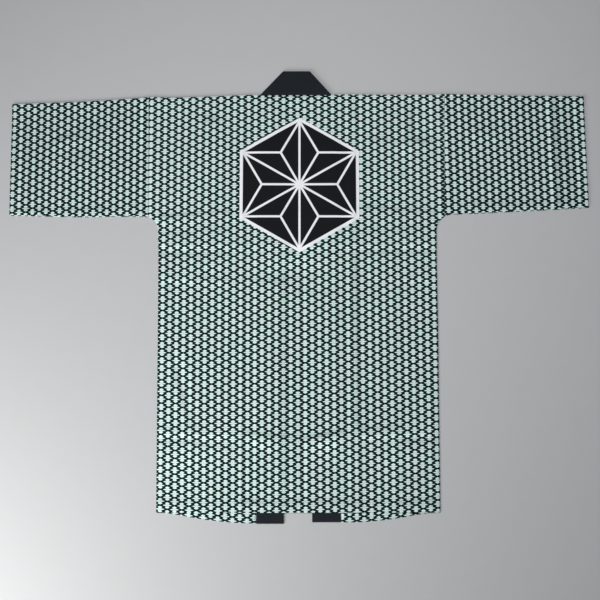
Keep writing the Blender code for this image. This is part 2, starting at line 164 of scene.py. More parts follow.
# Pressed lines and narrow buckles of the upper layer, with their painted shading: a value
# under 0 is painted shade, a little darker than the cloth round it, and one over 0 a painted
# highlight, a little lighter.
PRESSED = (
    # from across, from height, to across, to height, rise, half width, painted shading
    (-0.1206, 0.0117, -0.1239, 0.9357, -0.0008, 0.0045, -0.33),
    (-0.1282, 0.0117, -0.1320, 0.9357, 0.0004, 0.0045, 0.10),
    (-0.0301, 0.0117, -0.0302, 0.5642, -0.0007, 0.0050, -0.33),
    (-0.0104, 0.0266, -0.0098, 0.5527, 0.0003, 0.0036, 0.17),
    (0.0070, 0.0266, 0.0072, 0.5527, -0.0005, 0.0067, -0.27),
    (0.0212, 0.0266, 0.0230, 0.5527, 0.0004, 0.0036, 0.17),
    (0.1313, 0.1775, 0.1295, 0.5642, -0.0010, 0.0054, -0.67),
    (0.1295, 0.5642, 0.1302, 0.9357, -0.0008, 0.0045, -0.47),
    (0.1314, 0.0117, 0.1313, 0.1775, -0.0006, 0.0045, -0.30),
    (0.1194, 0.1775, 0.1181, 0.5642, 0.0007, 0.0038, 0.43),
    (0.1181, 0.5642, 0.1198, 0.9357, 0.0004, 0.0045, 0.13),
    (0.1194, 0.0117, 0.1194, 0.1775, 0.0004, 0.0045, 0.13),
    (-0.2211, 0.0202, -0.2233, 0.6010, -0.0004, 0.0045, -0.13),
    (0.2177, 0.0202, 0.2206, 0.6010, 0.0005, 0.0045, 0.10),
    (0.2264, 0.0202, 0.2274, 0.6010, -0.0004, 0.0045, -0.10),
    (-0.2904, 0.5527, -0.2873, 0.3940, -0.0005, 0.0050, -0.27),
    (-0.3199, 0.6600, -0.2311, 0.6658, -0.0011, 0.0045, -0.93),
    (-0.2311, 0.6658, -0.1514, 0.6716, -0.0009, 0.0045, -0.70),
    (-0.1514, 0.6716, 0.1453, 0.6821, -0.0006, 0.0054, -0.20),
    (0.1453, 0.6821, 0.2137, 0.6763, -0.0009, 0.0059, -0.60),
    (0.2137, 0.6763, 0.3162, 0.6681, -0.0008, 0.0045, -0.53),
    (-0.3150, 0.6426, -0.2308, 0.6449, 0.0009, 0.0081, 0.37),
    (-0.2309, 0.6519, 0.3135, 0.6472, 0.0004, 0.0059, 0.07),
    (-0.3191, 0.6206, -0.2304, 0.6183, -0.0008, 0.0054, -0.40),
    (-0.2306, 0.6310, -0.1509, 0.6264, -0.0007, 0.0090, -0.27),
    (0.1447, 0.6241, 0.3155, 0.6356, -0.0008, 0.0090, -0.30),
    (-0.3184, 0.5895, -0.2299, 0.5872, 0.0014, 0.0072, 0.63),
    (-0.2299, 0.5895, -0.1505, 0.5906, 0.0011, 0.0067, 0.40),
    (-0.1505, 0.5906, 0.1444, 0.5895, 0.0010, 0.0067, 0.20),
    (0.1444, 0.5872, 0.2306, 0.5883, 0.0011, 0.0063, 0.43),
    (0.2306, 0.5883, 0.3146, 0.5895, 0.0013, 0.0059, 0.77),
    (-0.3180, 0.5711, -0.2296, 0.5711, -0.0010, 0.0050, -0.57),
    (-0.2296, 0.5722, -0.1503, 0.5734, -0.0009, 0.0045, -0.40),
    (0.1443, 0.5757, 0.3143, 0.5745, -0.0010, 0.0050, -0.50),
    (-0.1504, 0.5757, 0.1443, 0.5757, -0.0005, 0.0054, -0.10),
    (-0.2288, 0.5196, -0.1498, 0.5184, -0.0005, 0.0054, -0.17),
    (-0.1362, 0.5184, -0.0820, 0.5139, -0.0006, 0.0059, -0.20),
    (-0.0820, 0.5105, -0.0278, 0.5093, -0.0008, 0.0067, -0.53),
    (-0.1678, 0.5116, -0.1362, 0.5116, -0.0006, 0.0063, -0.27),
    (0.0173, 0.4854, 0.0803, 0.4832, -0.0007, 0.0076, -0.30),
    (-0.3167, 0.5105, -0.2287, 0.5093, 0.0011, 0.0067, 0.50),
    (-0.2286, 0.5059, -0.1586, 0.5013, 0.0008, 0.0067, 0.30),
    (0.2294, 0.5093, 0.3129, 0.5093, 0.0009, 0.0063, 0.40),
    (0.1438, 0.5196, 0.2296, 0.5207, 0.0005, 0.0067, 0.20),
    (-0.3128, 0.3293, -0.2370, 0.3293, 0.0005, 0.0135, 0.20),
    (-0.2914, 0.3761, -0.2628, 0.2761, -0.0011, 0.0081, -0.43),
    (-0.2628, 0.2761, -0.2370, 0.1906, -0.0013, 0.0081, -0.60),
    (-0.2597, 0.3538, -0.2198, 0.2212, 0.0013, 0.0124, 0.30),
    (-0.3097, 0.1840, -0.2236, 0.1840, -0.0006, 0.0045, -0.43),
    (0.1406, 0.1818, 0.2289, 0.1862, -0.0009, 0.0054, -0.63),
    (-0.3093, 0.1677, -0.2233, 0.1666, 0.0016, 0.0050, 1.03),
    (-0.2233, 0.1644, -0.1417, 0.1622, 0.0011, 0.0054, 0.63),
    (0.1404, 0.1622, 0.2286, 0.1655, 0.0015, 0.0054, 0.87),
    (0.2286, 0.1666, 0.3058, 0.1677, 0.0013, 0.0050, 0.70),
    (-0.3090, 0.1525, -0.2297, 0.1525, -0.0011, 0.0050, -0.73),
    (-0.2296, 0.1481, -0.1415, 0.1405, -0.0008, 0.0059, -0.30),
    (0.2328, 0.1536, 0.3055, 0.1536, -0.0011, 0.0050, -0.67),
    (0.1402, 0.1427, 0.2327, 0.1427, -0.0002, 0.0059, 0.10),
    (-0.1154, 0.1764, -0.0712, 0.1688, -0.0013, 0.0054, -0.73),
    (-0.0712, 0.1688, -0.0249, 0.1633, -0.0015, 0.0054, -0.90),
    (-0.0249, 0.1633, 0.0104, 0.1601, -0.0010, 0.0054, -0.47),
    (0.0104, 0.1601, 0.0545, 0.1677, -0.0016, 0.0054, -1.03),
    (0.0545, 0.1688, 0.1030, 0.1775, -0.0013, 0.0054, -0.90),
    (-0.1086, 0.1514, -0.0491, 0.1405, 0.0015, 0.0099, 0.67),
    (0.0302, 0.1405, 0.0963, 0.1503, 0.0016, 0.0112, 0.77),
    (-0.3085, 0.0277, -0.2146, 0.0245, -0.0005, 0.0059, -0.53),
    (-0.2146, 0.0234, -0.1360, 0.0223, -0.0004, 0.0054, -0.30),
    (-0.1360, 0.0245, -0.0181, 0.0223, -0.0005, 0.0059, -0.67),
    (-0.0181, 0.0245, 0.1173, 0.0245, -0.0005, 0.0059, -0.60),
    (0.1173, 0.0245, 0.2221, 0.0245, -0.0004, 0.0054, -0.47),
    (0.2221, 0.0234, 0.3029, 0.0266, -0.0005, 0.0059, -0.77),
    (-0.3003, 0.0523, -0.2929, 0.0096, -0.0006, 0.0112, -0.17),
    (0.2946, 0.0480, 0.2896, 0.0160, -0.0006, 0.0090, -0.30),
    (0.1514, 0.8447, 0.2067, 0.8399, -0.0009, 0.0067, -0.43),
    (0.2067, 0.8375, 0.2528, 0.8351, -0.0006, 0.0067, -0.27),
    (0.2529, 0.8399, 0.3058, 0.8351, -0.0012, 0.0067, -0.90),
    (0.2611, 0.9188, 0.2599, 0.8447, -0.0007, 0.0076, -0.40),
    (0.3008, 0.9333, 0.3038, 0.8518, 0.0005, 0.0112, 0.33),
    (-0.3629, 0.9333, -0.3577, 0.8138, 0.0004, 0.0054, 0.47),
    (-0.3577, 0.8138, -0.3532, 0.7195, 0.0003, 0.0054, 0.17),
    (-0.5793, 0.8280, -0.5545, 0.8423, -0.0008, 0.0059, -0.30),
    (-0.5545, 0.8423, -0.5065, 0.8554, -0.0010, 0.0063, -0.50),
    (-0.5069, 0.8685, -0.4726, 0.8805, -0.0006, 0.0067, -0.13),
    (-0.4726, 0.8805, -0.4259, 0.8637, -0.0010, 0.0072, -0.47),
    (-0.5626, 0.8114, -0.5264, 0.8304, 0.0010, 0.0090, 0.40),
    (-0.5264, 0.8304, -0.4665, 0.8304, 0.0012, 0.0103, 0.40),
    (-0.4663, 0.8256, -0.4221, 0.8090, 0.0011, 0.0095, 0.47),
    (-0.6267, 0.9164, -0.6144, 0.6705, -0.0005, 0.0072, -0.43),
    (-0.5966, 0.9164, -0.5852, 0.6821, -0.0004, 0.0112, -0.20),
    (-0.6595, 0.9237, -0.6491, 0.6821, -0.0004, 0.0067, -0.30),
    (-0.6510, 0.6751, -0.4412, 0.6775, -0.0007, 0.0067, -0.57),
    (-0.4413, 0.6810, -0.3592, 0.6845, -0.0005, 0.0081, -0.30),
    (0.5835, 0.6821, 0.5806, 0.9381, 0.0011, 0.0045, 0.47),
    (0.5927, 0.6821, 0.5910, 0.9381, -0.0009, 0.0050, -0.57),
    (0.6222, 0.9044, 0.6210, 0.7055, -0.0005, 0.0135, -0.30),
    (0.6483, 0.8090, 0.6451, 0.7336, 0.0005, 0.0090, 0.63),
    (0.6419, 0.9333, 0.6416, 0.8138, 0.0004, 0.0112, 0.27),
    (0.3990, 0.8709, 0.4590, 0.8685, -0.0007, 0.0067, -0.30),
    (0.3983, 0.8447, 0.4580, 0.8363, 0.0011, 0.0076, 0.43),
    (0.2982, 0.6821, 0.4588, 0.7101, -0.0005, 0.0112, -0.07),
    (0.3920, 0.6891, 0.5633, 0.6891, -0.0006, 0.0081, -0.50),
    (0.5633, 0.6914, 0.6482, 0.6985, -0.0005, 0.0081, -0.30),
    (-0.3002, 0.7008, -0.1519, 0.7265, 0.0005, 0.0112, 0.07),
)

# Places where the upper layer stands off the one under it, or lies closer to it, with painted
# shading as above. The broad patch over the left sleeve, with no rise, is painted shade alone.
PUFFS = (
    # across, height, reach across, reach up, rise, painted shading
    (-0.500, 0.782, 0.105, 0.080, 0.0036, 0.05),
    (-0.412, 0.860, 0.045, 0.050, 0.0012, 0.00),
    (-0.250, 0.800, 0.070, 0.085, 0.0018, 0.00),
    (-0.510, 0.800, 0.260, 0.220, 0.0000, -0.34),
    (0.286, 0.815, 0.050, 0.085, 0.0026, 0.00),
    (0.222, 0.735, 0.060, 0.055, 0.0014, 0.00),
    (0.500, 0.775, 0.080, 0.070, 0.0020, 0.00),
    (0.622, 0.800, 0.030, 0.090, 0.0010, 0.00),
    (-0.190, 0.300, 0.055, 0.110, 0.0016, 0.00),
    (0.180, 0.345, 0.045, 0.100, 0.0014, 0.00),
    (-0.070, 0.310, 0.040, 0.060, 0.0012, 0.00),
    (0.060, 0.270, 0.045, 0.045, 0.0012, 0.00),
    (0.072, 0.410, 0.040, 0.055, 0.0010, 0.00),
    (-0.230, 0.085, 0.065, 0.050, 0.0015, 0.00),
    (0.215, 0.080, 0.070, 0.050, 0.0014, 0.00),
    (-0.010, 0.075, 0.090, 0.050, 0.0012, 0.00),
    (-0.008, 0.548, 0.148, 0.034, 0.0006, 0.37),
    (-0.191, 0.541, 0.049, 0.020, 0.0005, 0.30),
    (-0.227, 0.108, 0.099, 0.045, 0.0008, 0.40),
    (0.228, 0.112, 0.099, 0.045, 0.0007, 0.30),
    (0.070, 0.121, 0.072, 0.036, 0.0006, 0.27),
    (-0.200, 0.890, 0.040, 0.020, -0.0007, -0.57),
    (0.248, 0.811, 0.032, 0.020, 0.0008, 0.43),
    (0.416, 0.745, 0.036, 0.029, -0.0005, -0.30),
    (-0.101, 0.027, 0.040, 0.018, -0.0003, -0.33),
)

# Two waves of the whole upper layer: share, how much closer they lie across, and seed
WAVES = ((1.0, 1.0, 3.3), (0.5, 2.3, 7.1))
WAVE_RISE = 0.00055
WAVE_LENGTH = 0.055
WAVE_LIFT = 0.6

# How far a pressed line wanders and over what length, how far it reaches and how long its
# ends are, in half widths, its strength at the very end, and how uneven its strength is
WANDER = 0.0012
WANDER_LENGTH = 0.060
WANDER_SEED_STEP = 1.7
PRESSED_REACH = 3
PRESSED_END = 4
END_STRENGTH = 0.5
UNEVENNESS = 0.30
UNEVEN_SCALE = 0.7
UNEVEN_SEED = Vector((9.1, 4.3, 0))

# How the print lies on each panel: its repeat, how far a column leans and a row climbs for
# each metre, where it starts, in repeats, and how it has stretched and sagged in the wash.
# Stretch goes with across squared, across times height and height squared, and sag with
# across squared, height squared, across squared times height, across cubed, height cubed.
PRINT_LAY = {
    "body": dict(across=0.03188, up=0.01698, lean=0.0048, climb=0.0268, start=(-0.009, 0.166),
                 stretch=(-0.0163, -0.0134, -0.0026),
                 sag=(0.0848, 0.0617, -0.1733, -0.0985, -0.0461)),
    "left": dict(across=0.03080, up=0.01700, lean=0.0119, climb=0.0469, start=(-0.090, 0.536),
                 stretch=(0, 0, 0), sag=(0, 0, 0, 0, 0)),
    "right": dict(across=0.03153, up=0.01720, lean=0.0138, climb=-0.0019,
                  start=(-0.157, -0.098), stretch=(0, 0, 0), sag=(0, 0, 0, 0, 0)),
}

# Where a front's rows of print start, and the height over which they follow its hem
FRONT_START = 0.30
HEM_PULL = 0.2

# Small waves of the fronts beside their hems: length across and up, seed, rise, the height
# where the rise ends, and painted shading that follows the same waves, lighter on their crests
# and darker in their troughs
FRONT_WAVE = dict(across=0.05, up=0.03, seed=5.5, rise=0.0003, top=0.1, tone=0.16)

# Sewing: the armhole seam's ditch and the painted shade along it, the allowance beside it and
# its painted highlight, the turned hem and cuff, and the side seam's roll
ARMHOLE_DITCH = 0.0007
ARMHOLE_DITCH_REACH = 0.0035
SEAM_DITCH_PAINTED_SHADE = 0.10
SEAM_LINE_REACH = 0.0025
SEAM_ALLOWANCE = 0.013
SEAM_ALLOWANCE_RISE = 0.0006
SEAM_ALLOWANCE_RAMP = 0.004
SEAM_ALLOWANCE_PAINTED_HIGHLIGHT = 0.18
HEM_TURN = 0.020
HEM_TURN_RISE = 0.0004
HEM_TURN_RAMP = 0.004
CUFF_TURN = 0.935
CUFF_TURN_RAMP = 0.012
SIDE_SEAM_ROLL = 0.006

# Rows of stitches: how far in from an edge they lie, or at what share of the collar's width,
# how far short of a side they end, where across a cuff's row meets its top fold, and the
# legs of their paths
HEM_STITCHES_IN = 0.014
FRONT_STITCHES_IN = HEM_STITCHES_IN * 0.6
COLLAR_STITCHES_AT = (0.06, 0.94)
BACK_END = 0.004
FRONT_END = 0.003
CUFF_FOOT_END = 0.006
CUFF_TOP_END = 0.003
CUFF_ACROSS = 0.64
LONG_ROW_LEGS = 120
SHORT_ROW_LEGS = 60

# A stitch: its sides and rings, how far its middle lies over the cloth as a share of its
# width, and how much more over a front's turned hem
STITCH_SIDES = 6
STITCH_RINGS = 4
THREAD_OVER = 0.1
FRONT_STITCHES_RISE = 0.0004

# A sleeve's side of the armhole's gap, the rows that ease into its folds, and how quickly
# its under half falls from its top fold to the floor
SLEEVE_GAP = SEAM_GAP / 5
FOLD_ROWS = 3
UNDER_FALL = 6

# The rounding of the collar's folds: its share of the band's thickness, steps and angle
BAND_ROUNDING = 0.36
BAND_ROUNDING_STEPS = 3
BAND_ROUNDING_ANGLE = 60

# Grids of the cloth
NECK_COLUMNS = 40
SHOULDER_COLUMNS = 62
SKIRT_ROWS = 148
SKIRT_TOP = 0.620
ARMPIT_ROWS = 9
CHEST_ROWS = 66
FOLD_STEPS = 7
FLAP_ROWS = 3
FRONT_COLUMNS = 34
FRONT_ROW_STEP = 4
SLEEVE_STATIONS = 84
SLEEVE_UPPER_ROWS = 74
SLEEVE_UNDER_ROWS = 36
FOOT_STEPS = 4
COLLAR_BAND_STATIONS = 120
COLLAR_NECK_STATIONS = 22
COLLAR_CORNER_DEGREES = range(-90, 91, 10)
COLLAR_ROWS = 12

# How often a row's crossing with a line is worked out anew, and how near to each other the
# corners are that become one where a ring closes
ROW_PASSES = 3
JOIN_DISTANCE = 0.00001

# The origin lies under the middle of the outline
ORIGIN_HEIGHT = (COLLAR_TOP + BANDS["left"]["end"]) / 2

# Photograph's view: 45 mm lens, 6.5 degrees off straight down
CAMERA_PLACE = (0.0037592, -0.2135210, 1.6766405)
CAMERA_TILT = 6.5036
CAMERA_LENS = 45.0

# The soft edges of the print and the star, the print's raggedness, where it fades and how
# far out a lozenge's middle reaches
PRINT_EDGE = 0.00030
STAR_EDGE = 0.00035
RAGGED_SCALE = 900
RAGGED_REACH = 0.0009
FADED_SCALE = 55
FADED_RANGE = (0.35, 0.65)
MIDDLE_RANGE = (0.16, 0.38)

# The cotton's slubs, thread marks and broad patches: spots a metre, how many times longer
# than wide they are, how much they count, and the mean of what they add up to
SLUB_SCALE = 120
SLUB_LENGTH = 9
SLUB_SHARE = 0.8
MARK_SCALE = 260
MARK_LENGTH = 14
PATCH_SCALE = 17
PATCH_SHARE = 1.2
WORN_MEAN = 1.6
WEAVE_MEAN = 1.1

# How much painted shading of 1 changes the colour, how much the broad patches change the
# roughness, and the weave's strength and its depth as a share of its spacing
PAINTED_SHADING_SHARE = 0.30
PATCH_ROUGHNESS = 0.10
WEAVE_BUMP = 0.7
WEAVE_DEPTH = 0.22

# The collar's lint, and how much coarser its weave is
LINT_SCALE = 420
LINT_RANGE = (0.60, 0.85)
LINT_GAIN = 2.2
COLLAR_WEAVE = 1.2

# Sewing thread
GREEN_THREAD = (0.012, 0.030, 0.026)
BLACK_THREAD = (0.010, 0.011, 0.013)
TWIST_SCALE = 900
TWIST_DISTORTION = 1.5
TWIST_GAIN = 2.0
TWIST_LIGHT = 0.004
TWIST_DEPTH = 0.0001

# Stage
FLOOR_REACH = 6.0
FLOOR_PATCH_SCALE = 30
FLOOR_UNEVENNESS = 0.03
LIGHT_SIZE = 0.9
KEY_PLACE = (-1.20, -1.08, 0.80)
KEY_COLOUR = (1.0, 1.0, 0.99)
FILL_PLACE = (0.15, 0.55, 1.80)
FILL_COLOUR = (0.98, 0.99, 1.0)
SKY_COLOUR = (0.97, 0.98, 1.0, 1.0)

# A place on a sheet: its point, its place on the flat cloth and on the print, and its painted
# shading
Spot = namedtuple("Spot", "point cloth print tone")


class HappiCloth(bpy.types.PropertyGroup):
    """Sizes of the cloth and its sewing."""

    wall: FloatProperty(name="Cloth", description="Thickness of one layer of cotton",
                        default=0.0007, min=0.0003, max=0.0010, unit="LENGTH")
    band: FloatProperty(name="Collar", description="Thickness of the folded collar band",
                        default=0.0021, min=0.001, max=0.0023, unit="LENGTH")
    stitch: FloatProperty(name="Stitch", description="Length of one stitch",
                          default=0.0030, unit="LENGTH")
    stitch_gap: FloatProperty(name="Stitch gap", description="Cloth between two stitches",
                              default=0.0014, unit="LENGTH")
    thread: FloatProperty(name="Thread", description="Width of the sewing thread",
                          default=0.0005, unit="LENGTH")
    weave: FloatProperty(name="Weave", description="Distance between two threads of the cloth",
                         default=0.0006, unit="LENGTH")
    relief: FloatProperty(name="Relief", description="Share of the creases' full height",
                          default=1.0, min=0.0, max=2.0, subtype="FACTOR")


class HappiPrint(bpy.types.PropertyGroup):
    """Sizes and colours of the print."""

    repeat_across: FloatProperty(name="Repeat across", default=0.0323, unit="LENGTH",
                                 description="Width of one pine-bark lozenge's repeat")
    repeat_up: FloatProperty(name="Repeat up", default=0.0172, unit="LENGTH",
                             description="Height of one pine-bark lozenge's repeat")
    notch: FloatVectorProperty(name="Notch", default=(0.0049, 0.0028), size=2, unit="LENGTH",
                               description="Across and height of a notch from the middle of "
                                           "its lozenge")
    bend: FloatVectorProperty(name="Bend", default=(0.0062, 0.0032), size=2, unit="LENGTH",
                              description="Across and height of the line's bend beside a notch")
    swell: FloatVectorProperty(name="Swell", default=(0.0119, 0.0015), size=2, unit="LENGTH",
                               description="Across and height of the line where a lozenge "
                                           "swells towards its side tip")
    line: FloatProperty(name="Line", default=0.0039, unit="LENGTH",
                        description="Width of the dark line between lozenges")
    tip_line: FloatProperty(name="Tip's line", default=0.0034, unit="LENGTH",
                            description="Width of the dark line at the lozenges' tips")
    step_line: FloatProperty(name="Step's line", default=0.0029, unit="LENGTH",
                             description="Width of the dark line at the lozenges' steps")
    sleeve_ink: FloatProperty(name="Sleeves' ink", default=0.0002, unit="LENGTH",
                              description="How much wider the dark lines are on the sleeves")
    pale: FloatVectorProperty(name="Pale", default=(0.750, 0.966, 0.902), subtype="COLOR",
                              description="Colour of the lozenges", min=0, max=1)
    faded: FloatVectorProperty(name="Faded", default=(0.768, 0.940, 0.938), subtype="COLOR",
                               description="Colour of the lozenges where the dye has faded",
                               min=0, max=1)
    middle: FloatProperty(name="Lozenge's middle", default=0.76, min=0, max=1, subtype="FACTOR",
                          description="How bright a lozenge's middle is beside its tips")
    dark: FloatVectorProperty(name="Dark", default=(0.0004, 0.0110, 0.0098), subtype="COLOR",
                              description="Colour of the lines", min=0, max=1)
    star_place: FloatVectorProperty(name="Star's place", default=(0.0025, 0.732), size=2,
                                    description="Across and height of the star's middle",
                                    unit="LENGTH")
    star_reach: FloatProperty(name="Star", default=0.1295, unit="LENGTH",
                              description="From the hemp-leaf star's middle to its flat side")
    star_line: FloatProperty(name="Star's lines", default=0.0050, unit="LENGTH",
                             description="Width of the white lines in the star")
    star_outline: FloatProperty(name="Star's outline", default=0.0070, unit="LENGTH",
                                description="Width of the white line round the star")
    star_black: FloatVectorProperty(name="Star's black", default=(0.0075, 0.0088, 0.0105),
                                    description="Colour of the star", subtype="COLOR",
                                    min=0, max=1)
    star_white: FloatVectorProperty(name="Star's white", default=(0.86, 0.87, 0.91),
                                    description="Colour of the star's lines",
                                    subtype="COLOR", min=0, max=1)
    collar: FloatVectorProperty(name="Collar", default=(0.0128, 0.0160, 0.0200),
                                description="Colour of the collar", subtype="COLOR",
                                min=0, max=1)


class HappiStage(bpy.types.PropertyGroup):
    """Floor and lights."""

    floor: FloatVectorProperty(name="Floor", default=(0.47, 0.475, 0.48), subtype="COLOR",
                               description="Colour of the floor", min=0, max=1)
    key: FloatProperty(name="Key light", default=29.0, unit="POWER",
                       description="Power of the soft light beyond the left corner of the hem")
    fill: FloatProperty(name="Fill light", default=19.5, unit="POWER",
                        description="Power of the soft light overhead")
    sky: FloatProperty(name="Sky", default=0.15, min=0.0, subtype="FACTOR",
                       description="Strength of the even light from all round")


def mix(low, high, share):
    return low + (high - low) * share


def between(start, end, share):
    """The place at a share of the way from one place to another."""
    return tuple(mix(low, high, share) for low, high in zip(start, end))


def evenly(start, end, count):
    """Values from start to end in a count of equal steps."""
    return [mix(start, end, index / count) for index in range(count + 1)]


def ease(share):
    """A smooth step from 0 to 1, flat outside."""
    share = min(max(share, 0.0), 1.0)
    return share * share * (3 - 2 * share)


def read(table, key, column):
    """A column's value at a key, on a smooth curve through the table's rows."""
    last = len(table) - 2
    row = 0
    while row < last and key > table[row + 1][0]:
        row += 1

    start, end = table[row], table[row + 1]
    before, after = table[max(row - 1, 0)], table[min(row + 2, last + 1)]
    slope_in = (end[column] - before[column]) / (end[0] - before[0])
    slope_out = (after[column] - start[column]) / (after[0] - start[0])
    span = end[0] - start[0]
    share = min(max((key - start[0]) / span, 0.0), 1.0)
    square, cube = share ** 2, share ** 3
    return ((2 * cube - 3 * square + 1) * start[column]
            + (cube - 2 * square + share) * span * slope_in
            + (3 * square - 2 * cube) * end[column]
            + (cube - square) * span * slope_out)


def side_of(across):
    return SIDES["left"] if across < 0 else SIDES["right"]


def top_edge(across):
    if NECK_LEFT <= across <= NECK_RIGHT:
        return NECK_HEIGHT
    return read(TOP_EDGE, abs(across), side_of(across)["column"])


def fold_start(across):
    """Height where the upper layer begins to turn over the folded top edge."""
    return top_edge(across) - FOLD_RADIUS - HALF_WALL


def sleeve_line(side, edge, height):
    """Distance of the armhole seam or the cuff's edge from the middle line."""
    share = (height - side["armpit"]) / (NECK_HEIGHT - side["armpit"])
    return mix(side[edge + "_foot"], side[edge + "_top"], share)


def armpit_foot(side):
    """Height at which the armpit's curve meets the armhole seam."""
    radius = side["radius"]
    flat = read(SIDE_EDGE, side["armpit"], side["column"])
    beyond = radius - (side["seam_foot"] - flat)
    return side["armpit"] - radius + math.sqrt(radius ** 2 - beyond ** 2)


# Each side's armpit foot, by its table column
ARMPIT_FEET = {side["column"]: armpit_foot(side) for side in SIDES.values()}


def body_edge(side, height):
    """Distance of the body's side from the middle line: side seam, armpit, armhole."""
    radius = side["radius"]
    flat = read(SIDE_EDGE, height, side["column"])
    above = height - (side["armpit"] - radius)
    if above <= 0:
        return flat
    if height >= ARMPIT_FEET[side["column"]]:
        return sleeve_line(side, "seam", height)
    return flat + radius - math.sqrt(radius ** 2 - above ** 2)


def sleeve_foot(side, across):
    """Height of the sleeve's lower edge, whose inner end is the armpit's curve."""
    radius = side["radius"]
    flat = read(SIDE_EDGE, side["armpit"], side["column"])
    beyond = flat + radius - across
    straight = read(SLEEVE_FOOT, across, side["column"])
    if beyond <= 0:
        return straight
    return straight - radius + math.sqrt(radius ** 2 - beyond ** 2)


def band_line(name, edge, height):
    """Across of a band's sewn or free edge at a height."""
    band = BANDS[name]
    return mix(band[edge + "_hem"], band[edge + "_neck"], height / NECK_HEIGHT)


def over_bands(across, height):
    """1 over a band of the collar, easing to 0 beside it."""
    most = 0.0
    for name in BANDS:
        edges = sorted((band_line(name, "sewn", height), band_line(name, "free", height)))
        beside = max(edges[0] - across, across - edges[1], 0.0)
        most = max(most, ease(1 - beside / BAND_RAMP))
    return most


def from_line(line, across, height):
    """Distance from a line between two places, and how far along it, from 0 to 1."""
    x0, y0, x1, y1 = line
    along_x, along_y = x1 - x0, y1 - y0
    share = (across - x0) * along_x + (height - y0) * along_y
    share = min(max(share / (along_x ** 2 + along_y ** 2), 0.0), 1.0)
    return math.hypot(across - x0 - share * along_x, height - y0 - share * along_y), share


def crease_rise(across, height):
    """How far the broad creases and soft folds lift the upper layer."""
    total = 0.0
    for *line, rise, half_width in CREASES:
        away = from_line(line, across, height)[0]
        total += rise * ease(1 - away / half_width)
    return total


def inside_of(across, height):
    """Distance in from the upper layer's nearest edge, the hem and cuffs left out."""
    side = side_of(across)
    if abs(across) > sleeve_line(side, "seam", height):
        inside = height - sleeve_foot(side, abs(across))
    elif height > ARMPIT_FEET[side["column"]]:
        inside = CREASE_FADE
    else:
        inside = body_edge(side, height) - abs(across)
    return min(inside, fold_start(across) - height)


def lift(across, height, inside):
    """Height of the upper layer's underside over the floor."""
    fold = ease(1 - (fold_start(across) - height) / FOLD_RAMP)
    band = over_bands(across, height) * BAND_RISE / FOLD_RISE
    fade = ease(inside / CREASE_FADE)
    layers = REST_LIFT + FOLD_RISE * (1 - (1 - fold) * (1 - band))
    return layers + crease_rise(across, height) * fade


def pressed(across, height):
    """Rise and painted shading that the pressed lines give at a place."""
    rise = tone = 0.0
    for index, (x0, y0, x1, y1, row_rise, half_width, row_painted_shading) in enumerate(PRESSED):
        reach = half_width * PRESSED_REACH + WANDER
        if not (min(x0, x1) - reach < across < max(x0, x1) + reach
                and min(y0, y1) - reach < height < max(y0, y1) + reach):
            continue
        seed = Vector((across / WANDER_LENGTH, height / WANDER_LENGTH, index * WANDER_SEED_STEP))
        bend = noise.noise(seed) * WANDER
        away, share = from_line((x0, y0, x1, y1), across + bend, height + bend)
        length = math.hypot(x1 - x0, y1 - y0)
        end = ease(min(share, 1 - share) * length / (half_width * PRESSED_END) + END_STRENGTH)
        strength = 1 + UNEVENNESS * noise.noise(seed * UNEVEN_SCALE + UNEVEN_SEED)
        here = math.exp(-(away / half_width) ** 2) * end * strength
        rise += row_rise * here
        # Painted shading: darker along a trough, lighter along a ridge
        tone += row_painted_shading * here
    return rise, tone


def puffed(across, height):
    """How far the cloth stands off the layer under it, and its painted shading there."""
    rise = tone = 0.0
    for x, y, reach_across, reach_up, puff_rise, puff_painted_shading in PUFFS:
        near = ease(1 - math.hypot((across - x) / reach_across, (height - y) / reach_up))
        rise += puff_rise * near
        # Painted shading: lighter where the cloth puffs up, darker where it lies closer
        tone += puff_painted_shading * near
    wave = 0.0
    for share, closer, seed in WAVES:
        place_on = Vector((across / WAVE_LENGTH * closer, height / WAVE_LENGTH, seed))
        wave += share * noise.noise(place_on)
    return rise + WAVE_RISE * (wave + WAVE_LIFT), tone


def sewing_rise(across, height):
    """Rise that the armhole seams and the turned hem give at a place, and the seams' painted
    shading.
    """
    side = side_of(across)
    rise = tone = 0.0
    if height > ARMPIT_FEET[side["column"]] - ARMPIT_EASE:
        beside = abs(across) - sleeve_line(side, "seam", height)
        rise -= ARMHOLE_DITCH * math.exp(-(beside / ARMHOLE_DITCH_REACH) ** 2)
        # Painted shade along the seam's ditch, and a painted highlight on the raised allowance
        # beside it
        tone -= SEAM_DITCH_PAINTED_SHADE * math.exp(-(beside / SEAM_LINE_REACH) ** 2)
        if -SEAM_ALLOWANCE < beside < 0:
            raised = ease((beside + SEAM_ALLOWANCE) / SEAM_ALLOWANCE_RAMP)
            rise += SEAM_ALLOWANCE_RISE * raised
            tone += SEAM_ALLOWANCE_PAINTED_HIGHLIGHT * raised
    rise += HEM_TURN_RISE * ease((HEM_TURN - height) / HEM_TURN_RAMP)
    return rise, tone


def upper_middle(across, height, relief):
    """Height of the middle of the upper layer's cloth over the floor, and its painted shading.
    """
    inside = inside_of(across, height)
    fade = ease(inside / CREASE_FADE)
    press, tone = pressed(across, height)
    puff, puff_painted_shading = puffed(across, height)
    sewn, sewn_painted_shading = sewing_rise(across, height)
    extra = (press + puff) * fade * relief + sewn * min(1.0, fade + EDGE_SEWING)
    z = lift(across, height, inside) + HALF_WALL + extra
    side = side_of(across)
    if height < ARMPIT_FEET[side["column"]]:
        rolled = ease((body_edge(side, height) - abs(across)) / SIDE_SEAM_ROLL)
        z = mix(LOWEST_UPPER, z, rolled)
    return max(z, LOWEST_UPPER), tone + puff_painted_shading + sewn_painted_shading


def place(across, height, z):
    return (across, height - ORIGIN_HEIGHT, z)


